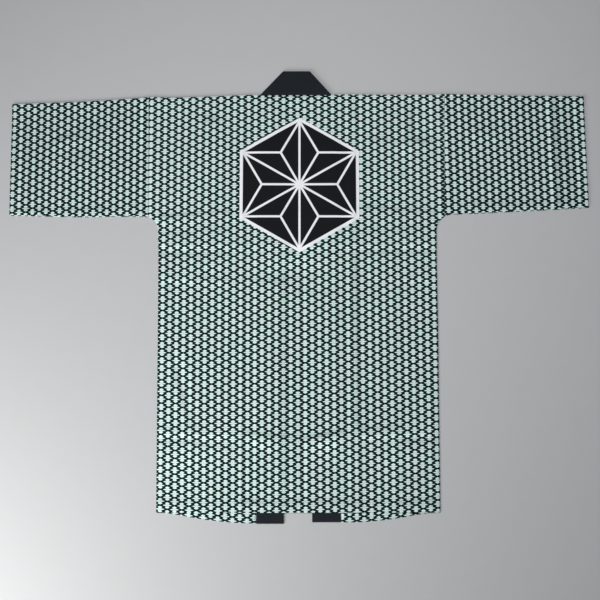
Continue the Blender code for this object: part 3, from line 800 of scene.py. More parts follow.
def print_place(lay, across, height):
    """Place on the print, in repeats, of a place on a panel."""
    stretch, sag = lay["stretch"], lay["sag"]
    u = across * (1 + stretch[0] * across + stretch[1] * height)
    u += lay["lean"] * height + stretch[2] * height ** 2
    v = height - lay["climb"] * across - sag[0] * across ** 2 - sag[1] * height ** 2
    v -= sag[2] * across ** 2 * height + sag[3] * across ** 3 + sag[4] * height ** 3
    return u / lay["across"] + lay["start"][0], v / lay["up"] + lay["start"][1]


def spot_on(lay, x, y, z, run, tone=0.0):
    """A spot of the upper layer or a sleeve, whose height along the cloth is its run."""
    return Spot(place(x, y, z), (x, run), print_place(lay, x, run), tone)


def row_height(row, across):
    """Height of a body row: (kind, value), where the kind names what its value shares."""
    kind, value = row
    if kind == "skirt":
        return value
    left, right = (side["seam_foot"] for side in SIDES.values())
    share = ease((across + left) / (left + right))
    foot = mix(*ARMPIT_FEET.values(), share)
    if kind == "armpit":
        starts = [side["armpit"] - side["radius"] for side in SIDES.values()]
        return mix(mix(*starts, share), foot, value)
    return mix(foot, value[1](across), value[0])


def body_rows(top, step=1):
    """Rows of a panel of the body, whose last one lies on the height function top."""
    skirt = range(0, SKIRT_ROWS + 1, step)
    chest = range(step, CHEST_ROWS + 1, step)
    rows = [("skirt", SKIRT_TOP * index / skirt[-1]) for index in skirt]
    rows += [("armpit", index / ARMPIT_ROWS) for index in range(ARMPIT_ROWS + 1)]
    rows += [("chest", (index / chest[-1], top)) for index in chest]
    return rows


def on_row(row, across_at):
    """Across and height where a line that runs up the body crosses a row."""
    across = across_at(0.0)
    for _ in range(ROW_PASSES):
        height = row_height(row, across)
        across = across_at(height)
    return across, height


def add_object(name, form, material):
    """An object with a bmesh's form, which is freed, and one material."""
    mesh = bpy.data.meshes.new(name)
    form.to_mesh(mesh)
    form.free()
    mesh.materials.append(material)
    piece = bpy.data.objects.new(name, mesh)
    bpy.context.scene.collection.objects.link(piece)
    return piece


def make_sheet(name, lines, wall, material, ring=False):
    """A thin closed sheet from lines of spots, each line a row of it.

    A spot of None leaves its faces out. In a ring the last line joins the first one."""
    across_count, row_count = len(lines[0]), len(lines)
    sheet = bmesh.new()
    bmesh.ops.create_grid(sheet, x_segments=across_count - 1, y_segments=row_count - 1, size=0.5)
    cloth = sheet.loops.layers.uv.new("cloth")
    printed = sheet.loops.layers.uv.new("print")
    tone = sheet.verts.layers.float.new("tone")
    spots, left_out = {}, []
    for vertex in sheet.verts:
        column = round((vertex.co.x + 0.5) * (across_count - 1))
        row = round((vertex.co.y + 0.5) * (row_count - 1))
        spot = lines[row][column]
        if spot is None:
            left_out.append(vertex)
        else:
            spots[vertex] = spot
            vertex.co = spot.point
            vertex[tone] = spot.tone
    bmesh.ops.delete(sheet, geom=left_out, context="VERTS")
    for face in sheet.faces:
        for loop in face.loops:
            loop[cloth].uv = spots[loop.vert].cloth
            loop[printed].uv = spots[loop.vert].print
    if ring:
        bmesh.ops.remove_doubles(sheet, verts=sheet.verts, dist=JOIN_DISTANCE)
    piece = add_object(name, sheet, material)
    piece.data.shade_smooth()
    shell = piece.modifiers.new("wall", "SOLIDIFY")
    shell.thickness = wall
    shell.offset = 0.0
    shell.use_even_offset = True
    return piece


def finish_piece(piece, node):
    """Attaches a finished piece to the root body, and hides the solid that it stands for."""
    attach(piece, "root")
    if node:
        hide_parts(node)


def make_back(cloth, material):
    """The back, whose upper edge turns over the shoulders and ends at the seam below."""
    lay = PRINT_LAY["body"]

    def path_of(part, share):
        def across_at(height):
            left, right = (body_edge(side, height) for side in SIDES.values())
            marks = (-left, NECK_LEFT, NECK_RIGHT, right)
            return mix(marks[part], marks[part + 1], share)
        return across_at

    counts = (SHOULDER_COLUMNS, NECK_COLUMNS, SHOULDER_COLUMNS + 1)
    paths = [path_of(part, index / count)
             for part, count in enumerate(counts) for index in range(count)]
    paths.append(path_of(2, 1.0))
    in_neck = range(SHOULDER_COLUMNS + 1, SHOULDER_COLUMNS + NECK_COLUMNS)

    lines = []
    rows = body_rows(fold_start)
    for row in rows:
        line = []
        for path in paths:
            x, y = on_row(row, path)
            z, tone = upper_middle(x, y, cloth.relief)
            line.append(spot_on(lay, x, y, z, y, tone))
        lines.append(line)

    ends = [on_row(rows[-1], path)[1] for path in paths]

    def turned(offset, z, run):
        """The line of spots beyond the last row, none of them in the neck."""
        line = []
        for index, (path, end) in enumerate(zip(paths, ends)):
            height = end + offset
            spot = spot_on(lay, path(height), height, z, end + run)
            line.append(None if index in in_neck else spot)
        return line

    for angle in evenly(0, math.pi, FOLD_STEPS)[1:]:
        z = HALF_WALL + FOLD_RADIUS * (1 + math.cos(angle))
        lines.append(turned(FOLD_RADIUS * math.sin(angle), z, FOLD_RADIUS * angle))
    for down in evenly(0, SHOULDER_TURN - FOLD_RADIUS - HALF_WALL, FLAP_ROWS)[1:]:
        lines.append(turned(-down, HALF_WALL, FOLD_RADIUS * math.pi + down))
    piece = make_sheet("back_cloth", lines, cloth.wall, material)
    finish_piece(piece, "back")


def front_print(side, across, height):
    """Place on the print of a place on a front, whose rows follow its hem."""
    hem = read(FRONT_HEM, abs(across), side["column"])
    lay = PRINT_LAY["body"]
    drop = hem * ease(1 - height / HEM_PULL)
    return across / lay["across"], (height - drop) / lay["up"] + FRONT_START


def make_front(name, cloth, material):
    """One front, flat on the floor between the collar's band and the side seam."""
    side, wave = SIDES[name], FRONT_WAVE

    def seam_under_shoulder(across):
        return top_edge(across) - SHOULDER_TURN - SEAM_GAP

    def path_of(share):
        def across_at(height):
            inner = abs(band_line(name, "sewn", height)) + SEAM_GAP
            return side["sign"] * mix(inner, body_edge(side, max(height, 0.0)), share)
        return across_at

    lines = []
    paths = [path_of(share) for share in evenly(0, 1, FRONT_COLUMNS)]
    hem_rows = [("hem", index / FRONT_ROW_STEP) for index in range(FRONT_ROW_STEP)]
    for row in hem_rows + body_rows(seam_under_shoulder, FRONT_ROW_STEP)[1:]:
        line = []
        for path in paths:
            if row[0] == "hem":
                hem = read(FRONT_HEM, abs(path(0.0)), side["column"])
                y = mix(hem, SKIRT_TOP * FRONT_ROW_STEP / SKIRT_ROWS, row[1])
                x = path(y)
            else:
                x, y = on_row(row, path)
            swing = noise.noise(Vector((x / wave["across"], y / wave["up"], wave["seed"])))
            z = LOWER_MIDDLE + wave["rise"] * (1 + swing) * ease(1 - y / wave["top"])
            # Painted shading that follows the wave: lighter on its crests, darker in its troughs
            line.append(Spot(place(x, y, z), (x, y), front_print(side, x, y),
                             wave["tone"] * swing))
        lines.append(line)
    piece = make_sheet("front_" + name + "_cloth", lines, cloth.wall, material)
    finish_piece(piece, "front_" + name)


def make_sleeve(name, cloth, material):
    """One sleeve, a flat tube folded along its top, sewn along its foot, open at its ends."""
    side = SIDES[name]
    lay = PRINT_LAY[name]
    foot_radius = (REST_LIFT + HALF_WALL - LOWER_MIDDLE) / 2

    def across_at(station, height):
        seam = sleeve_line(side, "seam", height) + SLEEVE_GAP
        return mix(seam, sleeve_line(side, "cuff", height), station)

    def ring(station):
        """Section of the tube at a station: (height, z, height along the cloth, painted
        shading).
        """
        near_foot = across_at(station, side["armpit"])
        low = sleeve_foot(side, near_foot) + foot_radius + HALF_WALL
        high = fold_start(side["sign"] * across_at(station, NECK_HEIGHT))
        cuff_turn = HEM_TURN_RISE * ease((station - CUFF_TURN) / CUFF_TURN_RAMP)
        section = []
        for share in evenly(0, 1, SLEEVE_UPPER_ROWS):
            y = mix(low, high, share)
            z, tone = upper_middle(side["sign"] * across_at(station, y), y, cloth.relief)
            ends = ease(min(share, 1 - share) * SLEEVE_UPPER_ROWS / FOLD_ROWS)
            flat = HALF_WALL + REST_LIFT + FOLD_RISE * share
            section.append((y, mix(flat, z, ends) + cuff_turn * ends, y, tone))
        for turn in evenly(0, math.pi, FOLD_STEPS)[1:-1]:
            y = high + FOLD_RADIUS * math.sin(turn)
            z = HALF_WALL + FOLD_RADIUS * (1 + math.cos(turn))
            section.append((y, z, high + FOLD_RADIUS * turn, 0.0))
        run = high + FOLD_RADIUS * math.pi
        for share in evenly(0, 1, SLEEVE_UNDER_ROWS):
            y = mix(high, low, share)
            z = mix(HALF_WALL, LOWER_MIDDLE, ease(share * UNDER_FALL))
            section.append((y, z, run + high - y, 0.0))
        run += high - low
        for turn in evenly(0, math.pi, FOOT_STEPS)[1:-1]:
            y = low - foot_radius * math.sin(turn)
            z = LOWER_MIDDLE + foot_radius * (1 - math.cos(turn))
            section.append((y, z, run + foot_radius * turn, 0.0))
        section.append(section[0][:2] + (run + foot_radius * math.pi, section[0][3]))
        return section

    stations = evenly(0, 1, SLEEVE_STATIONS)
    lines = []
    for row in zip(*[ring(station) for station in stations]):
        line = []
        for station, (y, z, run, tone) in zip(stations, row):
            x = side["sign"] * across_at(station, y)
            line.append(spot_on(lay, x, y, z, run, tone))
        lines.append(line)
    piece = make_sheet("sleeve_" + name + "_cloth", lines, cloth.wall, material, ring=True)
    finish_piece(piece, "sleeve_" + name)


def collar_corner(name):
    """Where the collar folds over at one end of the neck: its fold line's foot, the line's
    direction and length, and the direction from the line into the neck."""
    sign = SIDES[name]["sign"]
    foot_x = BANDS[name]["sewn_neck"] - sign * SEAM_GAP
    foot_y = fold_start(0.0) + SEAM_GAP
    run, rise = abs(foot_x - BANDS[name]["free_neck"]), COLLAR_TOP - foot_y
    length = math.hypot(run, rise)
    along = (-sign * run / length, rise / length)
    inward = (-sign * rise / length, -run / length)
    foot = (foot_x + inward[0] * FOLD_INSET, foot_y + inward[1] * FOLD_INSET)
    return foot, along, length, inward


def corner_stations(name):
    """Stations of one corner fold, from the band below to the neck part above it: sewn
    edge, free edge and height of the collar's middle."""
    foot, along, length, inward = collar_corner(name)
    radius = (COLLAR_WALL + COLLAR_FOLD_GAP) / 2
    tangent = along[1] / abs(along[0])
    stations = []
    for degrees in COLLAR_CORNER_DEGREES:
        angle = math.radians(degrees)
        offset = radius * (1 - math.cos(angle))
        reach = offset + FOLD_INSET
        bulge = COLLAR_WALL / 2 * math.cos(angle)
        if degrees < 0:
            ends = (bulge - reach) * tangent, length - reach * tangent
        else:
            ends = (bulge + reach) / tangent, length + (reach - bulge) / tangent
        edges = [(foot[0] + along[0] * end + inward[0] * offset,
                  foot[1] + along[1] * end + inward[1] * offset) for end in ends]
        stations.append((*edges, COLLAR_WALL / 2 + radius * (1 + math.sin(angle))))
    return stations


def band_stations(name, first):
    """Stations of one band from its corner fold down to the hem."""
    band = BANDS[name]
    ends = [(band[edge + "_hem"], band["end"]) for edge in ("sewn", "free")]
    stations = []
    for share in evenly(0, 1, COLLAR_BAND_STATIONS)[1:]:
        edges = [between(start, end, share) for start, end in zip(first, ends)]
        stations.append((*edges, COLLAR_WALL / 2))
    return stations


def collar_stations():
    """All stations of the collar, from its left end round the neck to its right end."""
    left, right = corner_stations("left"), corner_stations("right")
    neck = []
    for share in evenly(0, 1, COLLAR_NECK_STATIONS)[1:-1]:
        edges = [between(left[-1][edge], right[-1][edge], share) for edge in (0, 1)]
        neck.append((*edges, left[-1][2]))
    stations = band_stations("left", left[0])[::-1] + left + neck
    return stations + right[::-1] + band_stations("right", right[0])


def make_collar(cloth, material):
    """The collar, one folded strip up one front, round the neck and down the other."""
    stations = collar_stations()
    middles = [(*between(sewn, free, 0.5), z) for sewn, free, z in stations]
    runs = [0.0]
    for ends in zip(middles, middles[1:]):
        runs.append(runs[-1] + math.dist(*ends))
    lines = []
    for share in evenly(0, 1, COLLAR_ROWS):
        line = []
        for (sewn, free, z), run in zip(stations, runs):
            flat = (run, math.dist(sewn, free) * share)
            line.append(Spot(place(*between(sewn, free, share), z), flat, flat, 0.0))
        lines.append(line)
    piece = make_sheet("collar_band", lines, cloth.band, material)
    rounded = piece.modifiers.new("rounded folds", "BEVEL")
    rounded.width = cloth.band * BAND_ROUNDING
    rounded.segments = BAND_ROUNDING_STEPS
    rounded.limit_method = "ANGLE"
    rounded.angle_limit = math.radians(BAND_ROUNDING_ANGLE)
    finish_piece(piece, "collar")


def sew(bunch, stitch, path, cloth):
    """Adds a row of stitches along a path of points."""
    step = cloth.stitch + cloth.stitch_gap
    length = sum(math.dist(*ends) for ends in zip(path, path[1:]))
    count = int(length // step)
    leg, walked = 0, 0.0
    for index in range(count):
        wanted = (index + 0.5) * length / count
        while leg < len(path) - 2 and walked + math.dist(path[leg], path[leg + 1]) < wanted:
            walked += math.dist(path[leg], path[leg + 1])
            leg += 1
        start, end = Vector(path[leg]), Vector(path[leg + 1])
        along = (end - start).normalized()
        middle = start + along * (wanted - walked)
        turn = Vector((1, 0, 0)).rotation_difference(along).to_matrix().to_4x4()
        placed = stitch.copy()
        placed.transform(Matrix.Translation(middle) @ turn)
        bunch.from_mesh(placed)
        bpy.data.meshes.remove(placed)


def make_stitches(name, paths, cloth, material):
    """Rows of stitches as one piece."""
    bead = bmesh.new()
    size = Matrix.Diagonal((cloth.stitch / 2, cloth.thread / 2, cloth.thread / 2, 1))
    bmesh.ops.create_uvsphere(bead, u_segments=STITCH_SIDES, v_segments=STITCH_RINGS,
                              radius=1.0, matrix=size)
    stitch = bpy.data.meshes.new("stitch")
    bead.to_mesh(stitch)
    bead.free()
    bunch = bmesh.new()
    for path in paths:
        sew(bunch, stitch, path, cloth)
    bpy.data.meshes.remove(stitch)
    piece = add_object(name, bunch, material)
    piece.data.shade_smooth()
    finish_piece(piece, None)


def hem_paths(cloth, top):
    """Rows of stitches along the back's hem and the fronts' hems."""
    left, right = (body_edge(side, HEM_STITCHES_IN) for side in SIDES.values())
    back = []
    for x in evenly(BACK_END - left, right - BACK_END, LONG_ROW_LEGS):
        z = upper_middle(x, HEM_STITCHES_IN, cloth.relief)[0]
        back.append(place(x, HEM_STITCHES_IN, z + top))
    paths = [back]
    for name, side in SIDES.items():
        front = []
        start = abs(BANDS[name]["sewn_hem"]) + FRONT_END
        for across in evenly(start, body_edge(side, 0.0) - FRONT_END, SHORT_ROW_LEGS):
            y = read(FRONT_HEM, across, side["column"]) + FRONT_STITCHES_IN
            z = LOWER_MIDDLE + FRONT_STITCHES_RISE + top
            front.append(place(side["sign"] * across, y, z))
        paths.append(front)
    return paths


def cuff_paths(cloth, top):
    """A row of stitches round the upper half of each cuff."""
    paths = []
    for side in SIDES.values():
        path = []
        foot = sleeve_foot(side, side["cuff_foot"] - HEM_STITCHES_IN) + CUFF_FOOT_END
        head = fold_start(side["sign"] * CUFF_ACROSS) - CUFF_TOP_END
        for height in evenly(foot, head, SHORT_ROW_LEGS):
            x = side["sign"] * (sleeve_line(side, "cuff", height) - HEM_STITCHES_IN)
            z = upper_middle(x, height, cloth.relief)[0]
            path.append(place(x, height, z + HEM_TURN_RISE + top))
        paths.append(path)
    return paths


def collar_paths(cloth):
    """A row of stitches inside each long edge of the collar, on the face that shows."""
    stations = collar_stations()
    corner = COLLAR_BAND_STATIONS + len(COLLAR_CORNER_DEGREES) - 1
    parts = (stations[corner:-corner], stations[:COLLAR_BAND_STATIONS],
             stations[-COLLAR_BAND_STATIONS:])
    return [[place(*between(sewn, free, share), z + cloth.band / 2) for sewn, free, z in part]
            for part in parts for share in COLLAR_STITCHES_AT]


def feed(tree, socket, value):
    """Links a socket to another one, or sets it."""
    if isinstance(value, bpy.types.NodeSocket):
        tree.links.new(value, socket)
    else:
        socket.default_value = value


def calc(tree, operation, *values, clamp=False):
    node = tree.nodes.new("ShaderNodeMath")
    node.operation = operation
    node.use_clamp = clamp
    for socket, value in zip(node.inputs, values):
        feed(tree, socket, value)
    return node.outputs[0]


def vector_calc(tree, operation, *values, scale=None):
    node = tree.nodes.new("ShaderNodeVectorMath")
    node.operation = operation
    for socket, value in zip(node.inputs, values):
        feed(tree, socket, value)
    if scale is not None:
        feed(tree, node.inputs["Scale"], scale)
    numbers = ("DOT_PRODUCT", "LENGTH", "DISTANCE")
    return node.outputs["Value" if operation in numbers else "Vector"]


def blend_colours(tree, share, below, above):
    node = tree.nodes.new("ShaderNodeMix")
    node.data_type = "RGBA"
    feed(tree, node.inputs["Factor"], share)
    feed(tree, node.inputs["A"], below)
    feed(tree, node.inputs["B"], above)
    return node.outputs["Result"]


def soft_step(tree, value, start, end):
    """0 before start and 1 after end, or the other way round where end is less."""
    node = tree.nodes.new("ShaderNodeMapRange")
    node.interpolation_type = "SMOOTHSTEP"
    node.inputs["From Min"].default_value = min(start, end)
    node.inputs["From Max"].default_value = max(start, end)
    node.inputs["To Min"].default_value = 0.0 if start < end else 1.0
    node.inputs["To Max"].default_value = 1.0 if start < end else 0.0
    feed(tree, node.inputs["Value"], value)
    return node.outputs["Result"]


def uv_place(tree, name):
    node = tree.nodes.new("ShaderNodeUVMap")
    node.uv_map = name
    return node.outputs["UV"]


def object_place(tree):
    return tree.nodes.new("ShaderNodeTexCoord").outputs["Object"]


def axes_of(tree, place_on):
    node = tree.nodes.new("ShaderNodeSeparateXYZ")
    feed(tree, node.inputs[0], place_on)
    return node.outputs["X"], node.outputs["Y"]


def joined(tree, x, y):
    node = tree.nodes.new("ShaderNodeCombineXYZ")
    feed(tree, node.inputs["X"], x)
    feed(tree, node.inputs["Y"], y)
    return node.outputs[0]


def scaled(tree, value, share, more):
    """A share of a value, and more."""
    return calc(tree, "ADD", calc(tree, "MULTIPLY", value, share), more)


def fractal(tree, place_on, scale, detail=2.0, stretch=(1, 1, 1)):
    """Soft noise from 0 to 1 on a place, its scale in spots a metre."""
    mapping = tree.nodes.new("ShaderNodeMapping")
    mapping.inputs["Scale"].default_value = stretch
    tree.links.new(place_on, mapping.inputs["Vector"])
    node = tree.nodes.new("ShaderNodeTexNoise")
    node.inputs["Scale"].default_value = scale
    node.inputs["Detail"].default_value = detail
    tree.links.new(mapping.outputs["Vector"], node.inputs["Vector"])
    return node.outputs["Fac"]


def cloth_noise(tree, scale, detail=2.0, stretch=(1, 1, 1)):
    return fractal(tree, uv_place(tree, "cloth"), scale, detail, stretch)


def new_material(name, settings):
    """A material, its node tree and its shader with some plain settings."""
    material = bpy.data.materials.new(name)
    material.use_nodes = True
    shader = material.node_tree.nodes["Principled BSDF"]
    for socket, value in settings.items():
        shader.inputs[socket].default_value = value
    return material, material.node_tree, shader


def add_bump(tree, shader, height, strength, distance):
    node = tree.nodes.new("ShaderNodeBump")
    node.inputs["Strength"].default_value = strength
    node.inputs["Distance"].default_value = distance
    feed(tree, node.inputs["Height"], height)
    feed(tree, shader.inputs["Normal"], node.outputs["Normal"])


def line_distance_group():
    """Node group: distance from a place to the straight line between two others."""
    name = "distance to line"
    if name in bpy.data.node_groups:
        return bpy.data.node_groups[name]
    tree = bpy.data.node_groups.new(name, "ShaderNodeTree")
    for socket in ("Place", "From", "To"):
        tree.interface.new_socket(socket, in_out="INPUT", socket_type="NodeSocketVector")
    tree.interface.new_socket("Distance", in_out="OUTPUT", socket_type="NodeSocketFloat")
    given = tree.nodes.new("NodeGroupInput").outputs
    result = tree.nodes.new("NodeGroupOutput").inputs
    beside = vector_calc(tree, "SUBTRACT", given["Place"], given["From"])
    along = vector_calc(tree, "SUBTRACT", given["To"], given["From"])
    share = calc(tree, "DIVIDE", vector_calc(tree, "DOT_PRODUCT", beside, along),
                 vector_calc(tree, "DOT_PRODUCT", along, along), clamp=True)
    nearest = vector_calc(tree, "SCALE", along, scale=share)
    away = vector_calc(tree, "LENGTH", vector_calc(tree, "SUBTRACT", beside, nearest))
    tree.links.new(away, result["Distance"])
    return tree


def line_distance(tree, place_on, start, end):
    node = tree.nodes.new("ShaderNodeGroup")
    node.node_tree = line_distance_group()
    tree.links.new(place_on, node.inputs["Place"])
    node.inputs["From"].default_value = (*start, 0)
    node.inputs["To"].default_value = (*end, 0)
    return node.outputs["Distance"]


def nearest_line(tree, place_on, points, widths):
    """Distance from a place to the edge of a line of straight legs, each of its width."""
    away = None
    for start, end, width in zip(points, points[1:], widths):
        leg = calc(tree, "SUBTRACT", line_distance(tree, place_on, start, end), width / 2)
        away = leg if away is None else calc(tree, "MINIMUM", away, leg)
    return away


def lozenge_colour(tree, look, ink):
    """Pine-bark lozenges, every other column half a repeat lower. Ink widens the lines."""
    sizes = (look.repeat_across, look.repeat_up)
    half_across, half_up = look.repeat_across / 2, look.repeat_up / 2
    from_middle = [calc(tree, "MULTIPLY", calc(tree, "PINGPONG", axis, 0.5), size)
                   for axis, size in zip(axes_of(tree, uv_place(tree, "print")), sizes)]
    folded = joined(tree, *from_middle)
    # From a lozenge's side tip to its notch, and on to its upper tip by a half turn
    outer = (half_across, 0), tuple(look.swell), tuple(look.bend), tuple(look.notch)
    points = outer + tuple((half_across - x, half_up - y) for x, y in reversed(outer))
    widths = (look.tip_line, look.line, look.step_line)
    widths = tuple(width + ink for width in widths + (look.step_line,) + widths[::-1])
    ragged = calc(tree, "SUBTRACT", cloth_noise(tree, RAGGED_SCALE, detail=1.0), 0.5)
    away = scaled(tree, ragged, RAGGED_REACH, nearest_line(tree, folded, points, widths))
    dark = soft_step(tree, away, PRINT_EDGE, -PRINT_EDGE)
    faded = soft_step(tree, cloth_noise(tree, FADED_SCALE), *FADED_RANGE)
    pale = blend_colours(tree, faded, (*look.pale, 1), (*look.faded, 1))
    beside = vector_calc(tree, "SUBTRACT", folded, (half_across, half_up, 0))
    out = calc(tree, "MINIMUM", vector_calc(tree, "LENGTH", folded),
               vector_calc(tree, "LENGTH", beside))
    rim = soft_step(tree, out, *(half_across * share for share in MIDDLE_RANGE))
    rim = scaled(tree, rim, 1 - look.middle, look.middle)
    pale = vector_calc(tree, "SCALE", pale, scale=rim)
    return blend_colours(tree, dark, pale, (*look.dark, 1))


def star_colours(tree, look, under):
    """A hemp-leaf star in a hexagon, with white lines and outline, over another colour."""
    middle = vector_calc(tree, "SUBTRACT", uv_place(tree, "cloth"), (*look.star_place, 0))
    far = vector_calc(tree, "LENGTH", middle)
    sector = math.pi / 6
    around = calc(tree, "PINGPONG", calc(tree, "ARCTAN2", *axes_of(tree, middle)), sector)
    folded = joined(tree, calc(tree, "MULTIPLY", far, calc(tree, "COSINE", around)),
                    calc(tree, "MULTIPLY", far, calc(tree, "SINE", around)))
    tip = look.star_reach / math.cos(sector)
    centroid = (tip / 2, tip / 2 * math.tan(sector))
    corners = ((tip, 0), (0, 0), centroid, (tip, 0))
    away = nearest_line(tree, folded, corners, (look.star_line,) * 3)
    out = calc(tree, "COSINE", calc(tree, "SUBTRACT", sector, around))
    out = calc(tree, "MULTIPLY", far, out)
    lines = soft_step(tree, away, STAR_EDGE, -STAR_EDGE)
    reach = look.star_reach
    border = soft_step(tree, out, reach - STAR_EDGE, reach + STAR_EDGE)
    white = calc(tree, "MAXIMUM", lines, border)
    reach += look.star_outline
    inside = soft_step(tree, out, reach + STAR_EDGE, reach - STAR_EDGE)
    star = blend_colours(tree, white, (*look.star_black, 1), (*look.star_white, 1))
    return blend_colours(tree, inside, under, star)


def weave_height(tree, spacing):
    """Plain weave: threads over and under each other, and their uneven thickness."""
    waves = [calc(tree, "SINE", calc(tree, "MULTIPLY", axis, math.pi / spacing))
             for axis in axes_of(tree, uv_place(tree, "cloth"))]
    crossing = calc(tree, "ABSOLUTE", calc(tree, "MULTIPLY", *waves))
    slub = cloth_noise(tree, SLUB_SCALE, stretch=(1, SLUB_LENGTH, 1))
    return scaled(tree, slub, SLUB_SHARE, crossing)


def cotton(name, colour_of, spacing, roughness, sheen, mottle_and_weave_shade=0.10):
    """Woven cotton: its colour, thread marks, painted shading along creases, puffs and seams,
    painted shade between the weave's threads, and weave as bump.
    """
    material, tree, shader = new_material(name, {
        "Metallic": 0.0, "Specular IOR Level": 0.12, "Sheen Weight": sheen,
        "Sheen Roughness": 0.45})
    colour = colour_of(tree)
    weave = weave_height(tree, spacing)
    marks = [cloth_noise(tree, MARK_SCALE, stretch=stretch)
             for stretch in ((1, MARK_LENGTH, 1), (MARK_LENGTH, 1, 1))]
    broad = cloth_noise(tree, PATCH_SCALE, detail=3.0)
    worn = scaled(tree, broad, PATCH_SHARE, calc(tree, "ADD", *marks))
    worn = calc(tree, "SUBTRACT", worn, WORN_MEAN)
    # Painted shade and painted highlight from the sheet's attribute: darker in creases, hollows
    # and seam ditches, lighter on ridges and puffs
    tone = tree.nodes.new("ShaderNodeAttribute")
    tone.attribute_name = "tone"
    shade = calc(tree, "MULTIPLY", tone.outputs["Fac"], PAINTED_SHADING_SHARE)
    shade = scaled(tree, worn, mottle_and_weave_shade, shade)
    # Painted shade: the weave darkens the colour between threads and lightens it where threads
    # cross, partly with the slubs' uneven thickness
    shade = scaled(tree, calc(tree, "SUBTRACT", weave, WEAVE_MEAN), mottle_and_weave_shade, shade)
    shade = calc(tree, "ADD", shade, 1.0)
    feed(tree, shader.inputs["Base Color"], vector_calc(tree, "SCALE", colour, scale=shade))
    rough = scaled(tree, broad, PATCH_ROUGHNESS, roughness - PATCH_ROUGHNESS / 2)
    feed(tree, shader.inputs["Roughness"], rough)
    add_bump(tree, shader, weave, strength=WEAVE_BUMP, distance=spacing * WEAVE_DEPTH)
    return material


def printed_cotton(scene, name, ink=0.0, with_star=False):
    """Pale lozenges on a near-black green ground, and the star on the back."""
    look = scene.happi_print

    def colour_of(tree):
        colour = lozenge_colour(tree, look, ink)
        return star_colours(tree, look, colour) if with_star else colour

    return cotton(name, colour_of, scene.happi_cloth.weave, roughness=0.88, sheen=0.02)


def black_cotton(scene):
    """The collar's firm black cotton, with a little lint on it."""
    look = scene.happi_print

    def colour_of(tree):
        lint = cloth_noise(tree, LINT_SCALE, detail=3.0, stretch=(3, 1, 1))
        lint = soft_step(tree, lint, *LINT_RANGE)
        dusty = tuple(channel * LINT_GAIN for channel in look.collar)
        return blend_colours(tree, lint, (*look.collar, 1), (*dusty, 1))

    return cotton("collar_cotton", colour_of, scene.happi_cloth.weave * COLLAR_WEAVE,
                  roughness=0.86, sheen=0.05, mottle_and_weave_shade=0.25)


def sewing_thread(name, colour):
    """Twisted cotton thread, painted lighter along the twist's ridges as a painted highlight."""
    material, tree, shader = new_material(name, {"Roughness": 0.7})
    twist = tree.nodes.new("ShaderNodeTexWave")
    twist.bands_direction = "DIAGONAL"
    twist.inputs["Scale"].default_value = TWIST_SCALE
    twist.inputs["Distortion"].default_value = TWIST_DISTORTION
    feed(tree, twist.inputs["Vector"], object_place(tree))
    # Painted highlight: the colour is lighter where the twist's ridges stand up
    lighter = tuple(min(channel * TWIST_GAIN + TWIST_LIGHT, 1.0) for channel in colour)
    tint = blend_colours(tree, twist.outputs["Fac"], (*colour, 1), (*lighter, 1))
    feed(tree, shader.inputs["Base Color"], tint)
    add_bump(tree, shader, twist.outputs["Fac"], strength=1.0, distance=TWIST_DEPTH)
    return material


def floor_finish(colour):
    """Smooth pale floor, faintly uneven."""
    material, tree, shader = new_material("pale_floor", {
        "Roughness": 0.75, "Specular IOR Level": 0.25})
    patch = fractal(tree, object_place(tree), FLOOR_PATCH_SCALE, detail=4.0)
    shade = scaled(tree, patch, FLOOR_UNEVENNESS, 1 - FLOOR_UNEVENNESS / 2)
    tint = vector_calc(tree, "SCALE", tuple(colour), scale=shade)
    feed(tree, shader.inputs["Base Color"], tint)
    return material


class HAPPI_OT_fronts(bpy.types.Operator):
    """Make the two fronts, flat on the floor."""

    bl_idname = "happi.fronts"
    bl_label = "Fronts"

    def execute(self, context):
        material = printed_cotton(context.scene, "lozenge_cotton")
        for name in SIDES:
            make_front(name, context.scene.happi_cloth, material)
        return {"FINISHED"}


class HAPPI_OT_sleeves(bpy.types.Operator):
    """Make the two sleeves, flat tubes open at both ends."""

    bl_idname = "happi.sleeves"
    bl_label = "Sleeves"

    def execute(self, context):
        scene = context.scene
        material = printed_cotton(scene, "sleeve_lozenge_cotton", scene.happi_print.sleeve_ink)
        for name in SIDES:
            make_sleeve(name, scene.happi_cloth, material)
        return {"FINISHED"}


class HAPPI_OT_collar(bpy.types.Operator):
    """Make the black collar band, folded over at both ends of the neck."""

    bl_idname = "happi.collar"
    bl_label = "Collar"

    def execute(self, context):
        make_collar(context.scene.happi_cloth, black_cotton(context.scene))
        return {"FINISHED"}


class HAPPI_OT_back(bpy.types.Operator):
    """Make the back, with its printed star and pressed creases."""

    bl_idname = "happi.back"
    bl_label = "Back"

    def execute(self, context):
        material = printed_cotton(context.scene, "star_lozenge_cotton", with_star=True)
        make_back(context.scene.happi_cloth, material)
        return {"FINISHED"}


class HAPPI_OT_sewing(bpy.types.Operator):
    """Sew the hems, the cuffs and the collar's long edges."""

    bl_idname = "happi.sewing"
    bl_label = "Sewing"

    def execute(self, context):
        cloth = context.scene.happi_cloth
        green = sewing_thread("green_thread", GREEN_THREAD)
        black = sewing_thread("black_thread", BLACK_THREAD)
        top = cloth.wall / 2 + cloth.thread * THREAD_OVER
        make_stitches("hem_stitches", hem_paths(cloth, top), cloth, green)
        make_stitches("cuff_stitches", cuff_paths(cloth, top), cloth, green)
        make_stitches("collar_stitches", collar_paths(cloth), cloth, black)
        return {"FINISHED"}


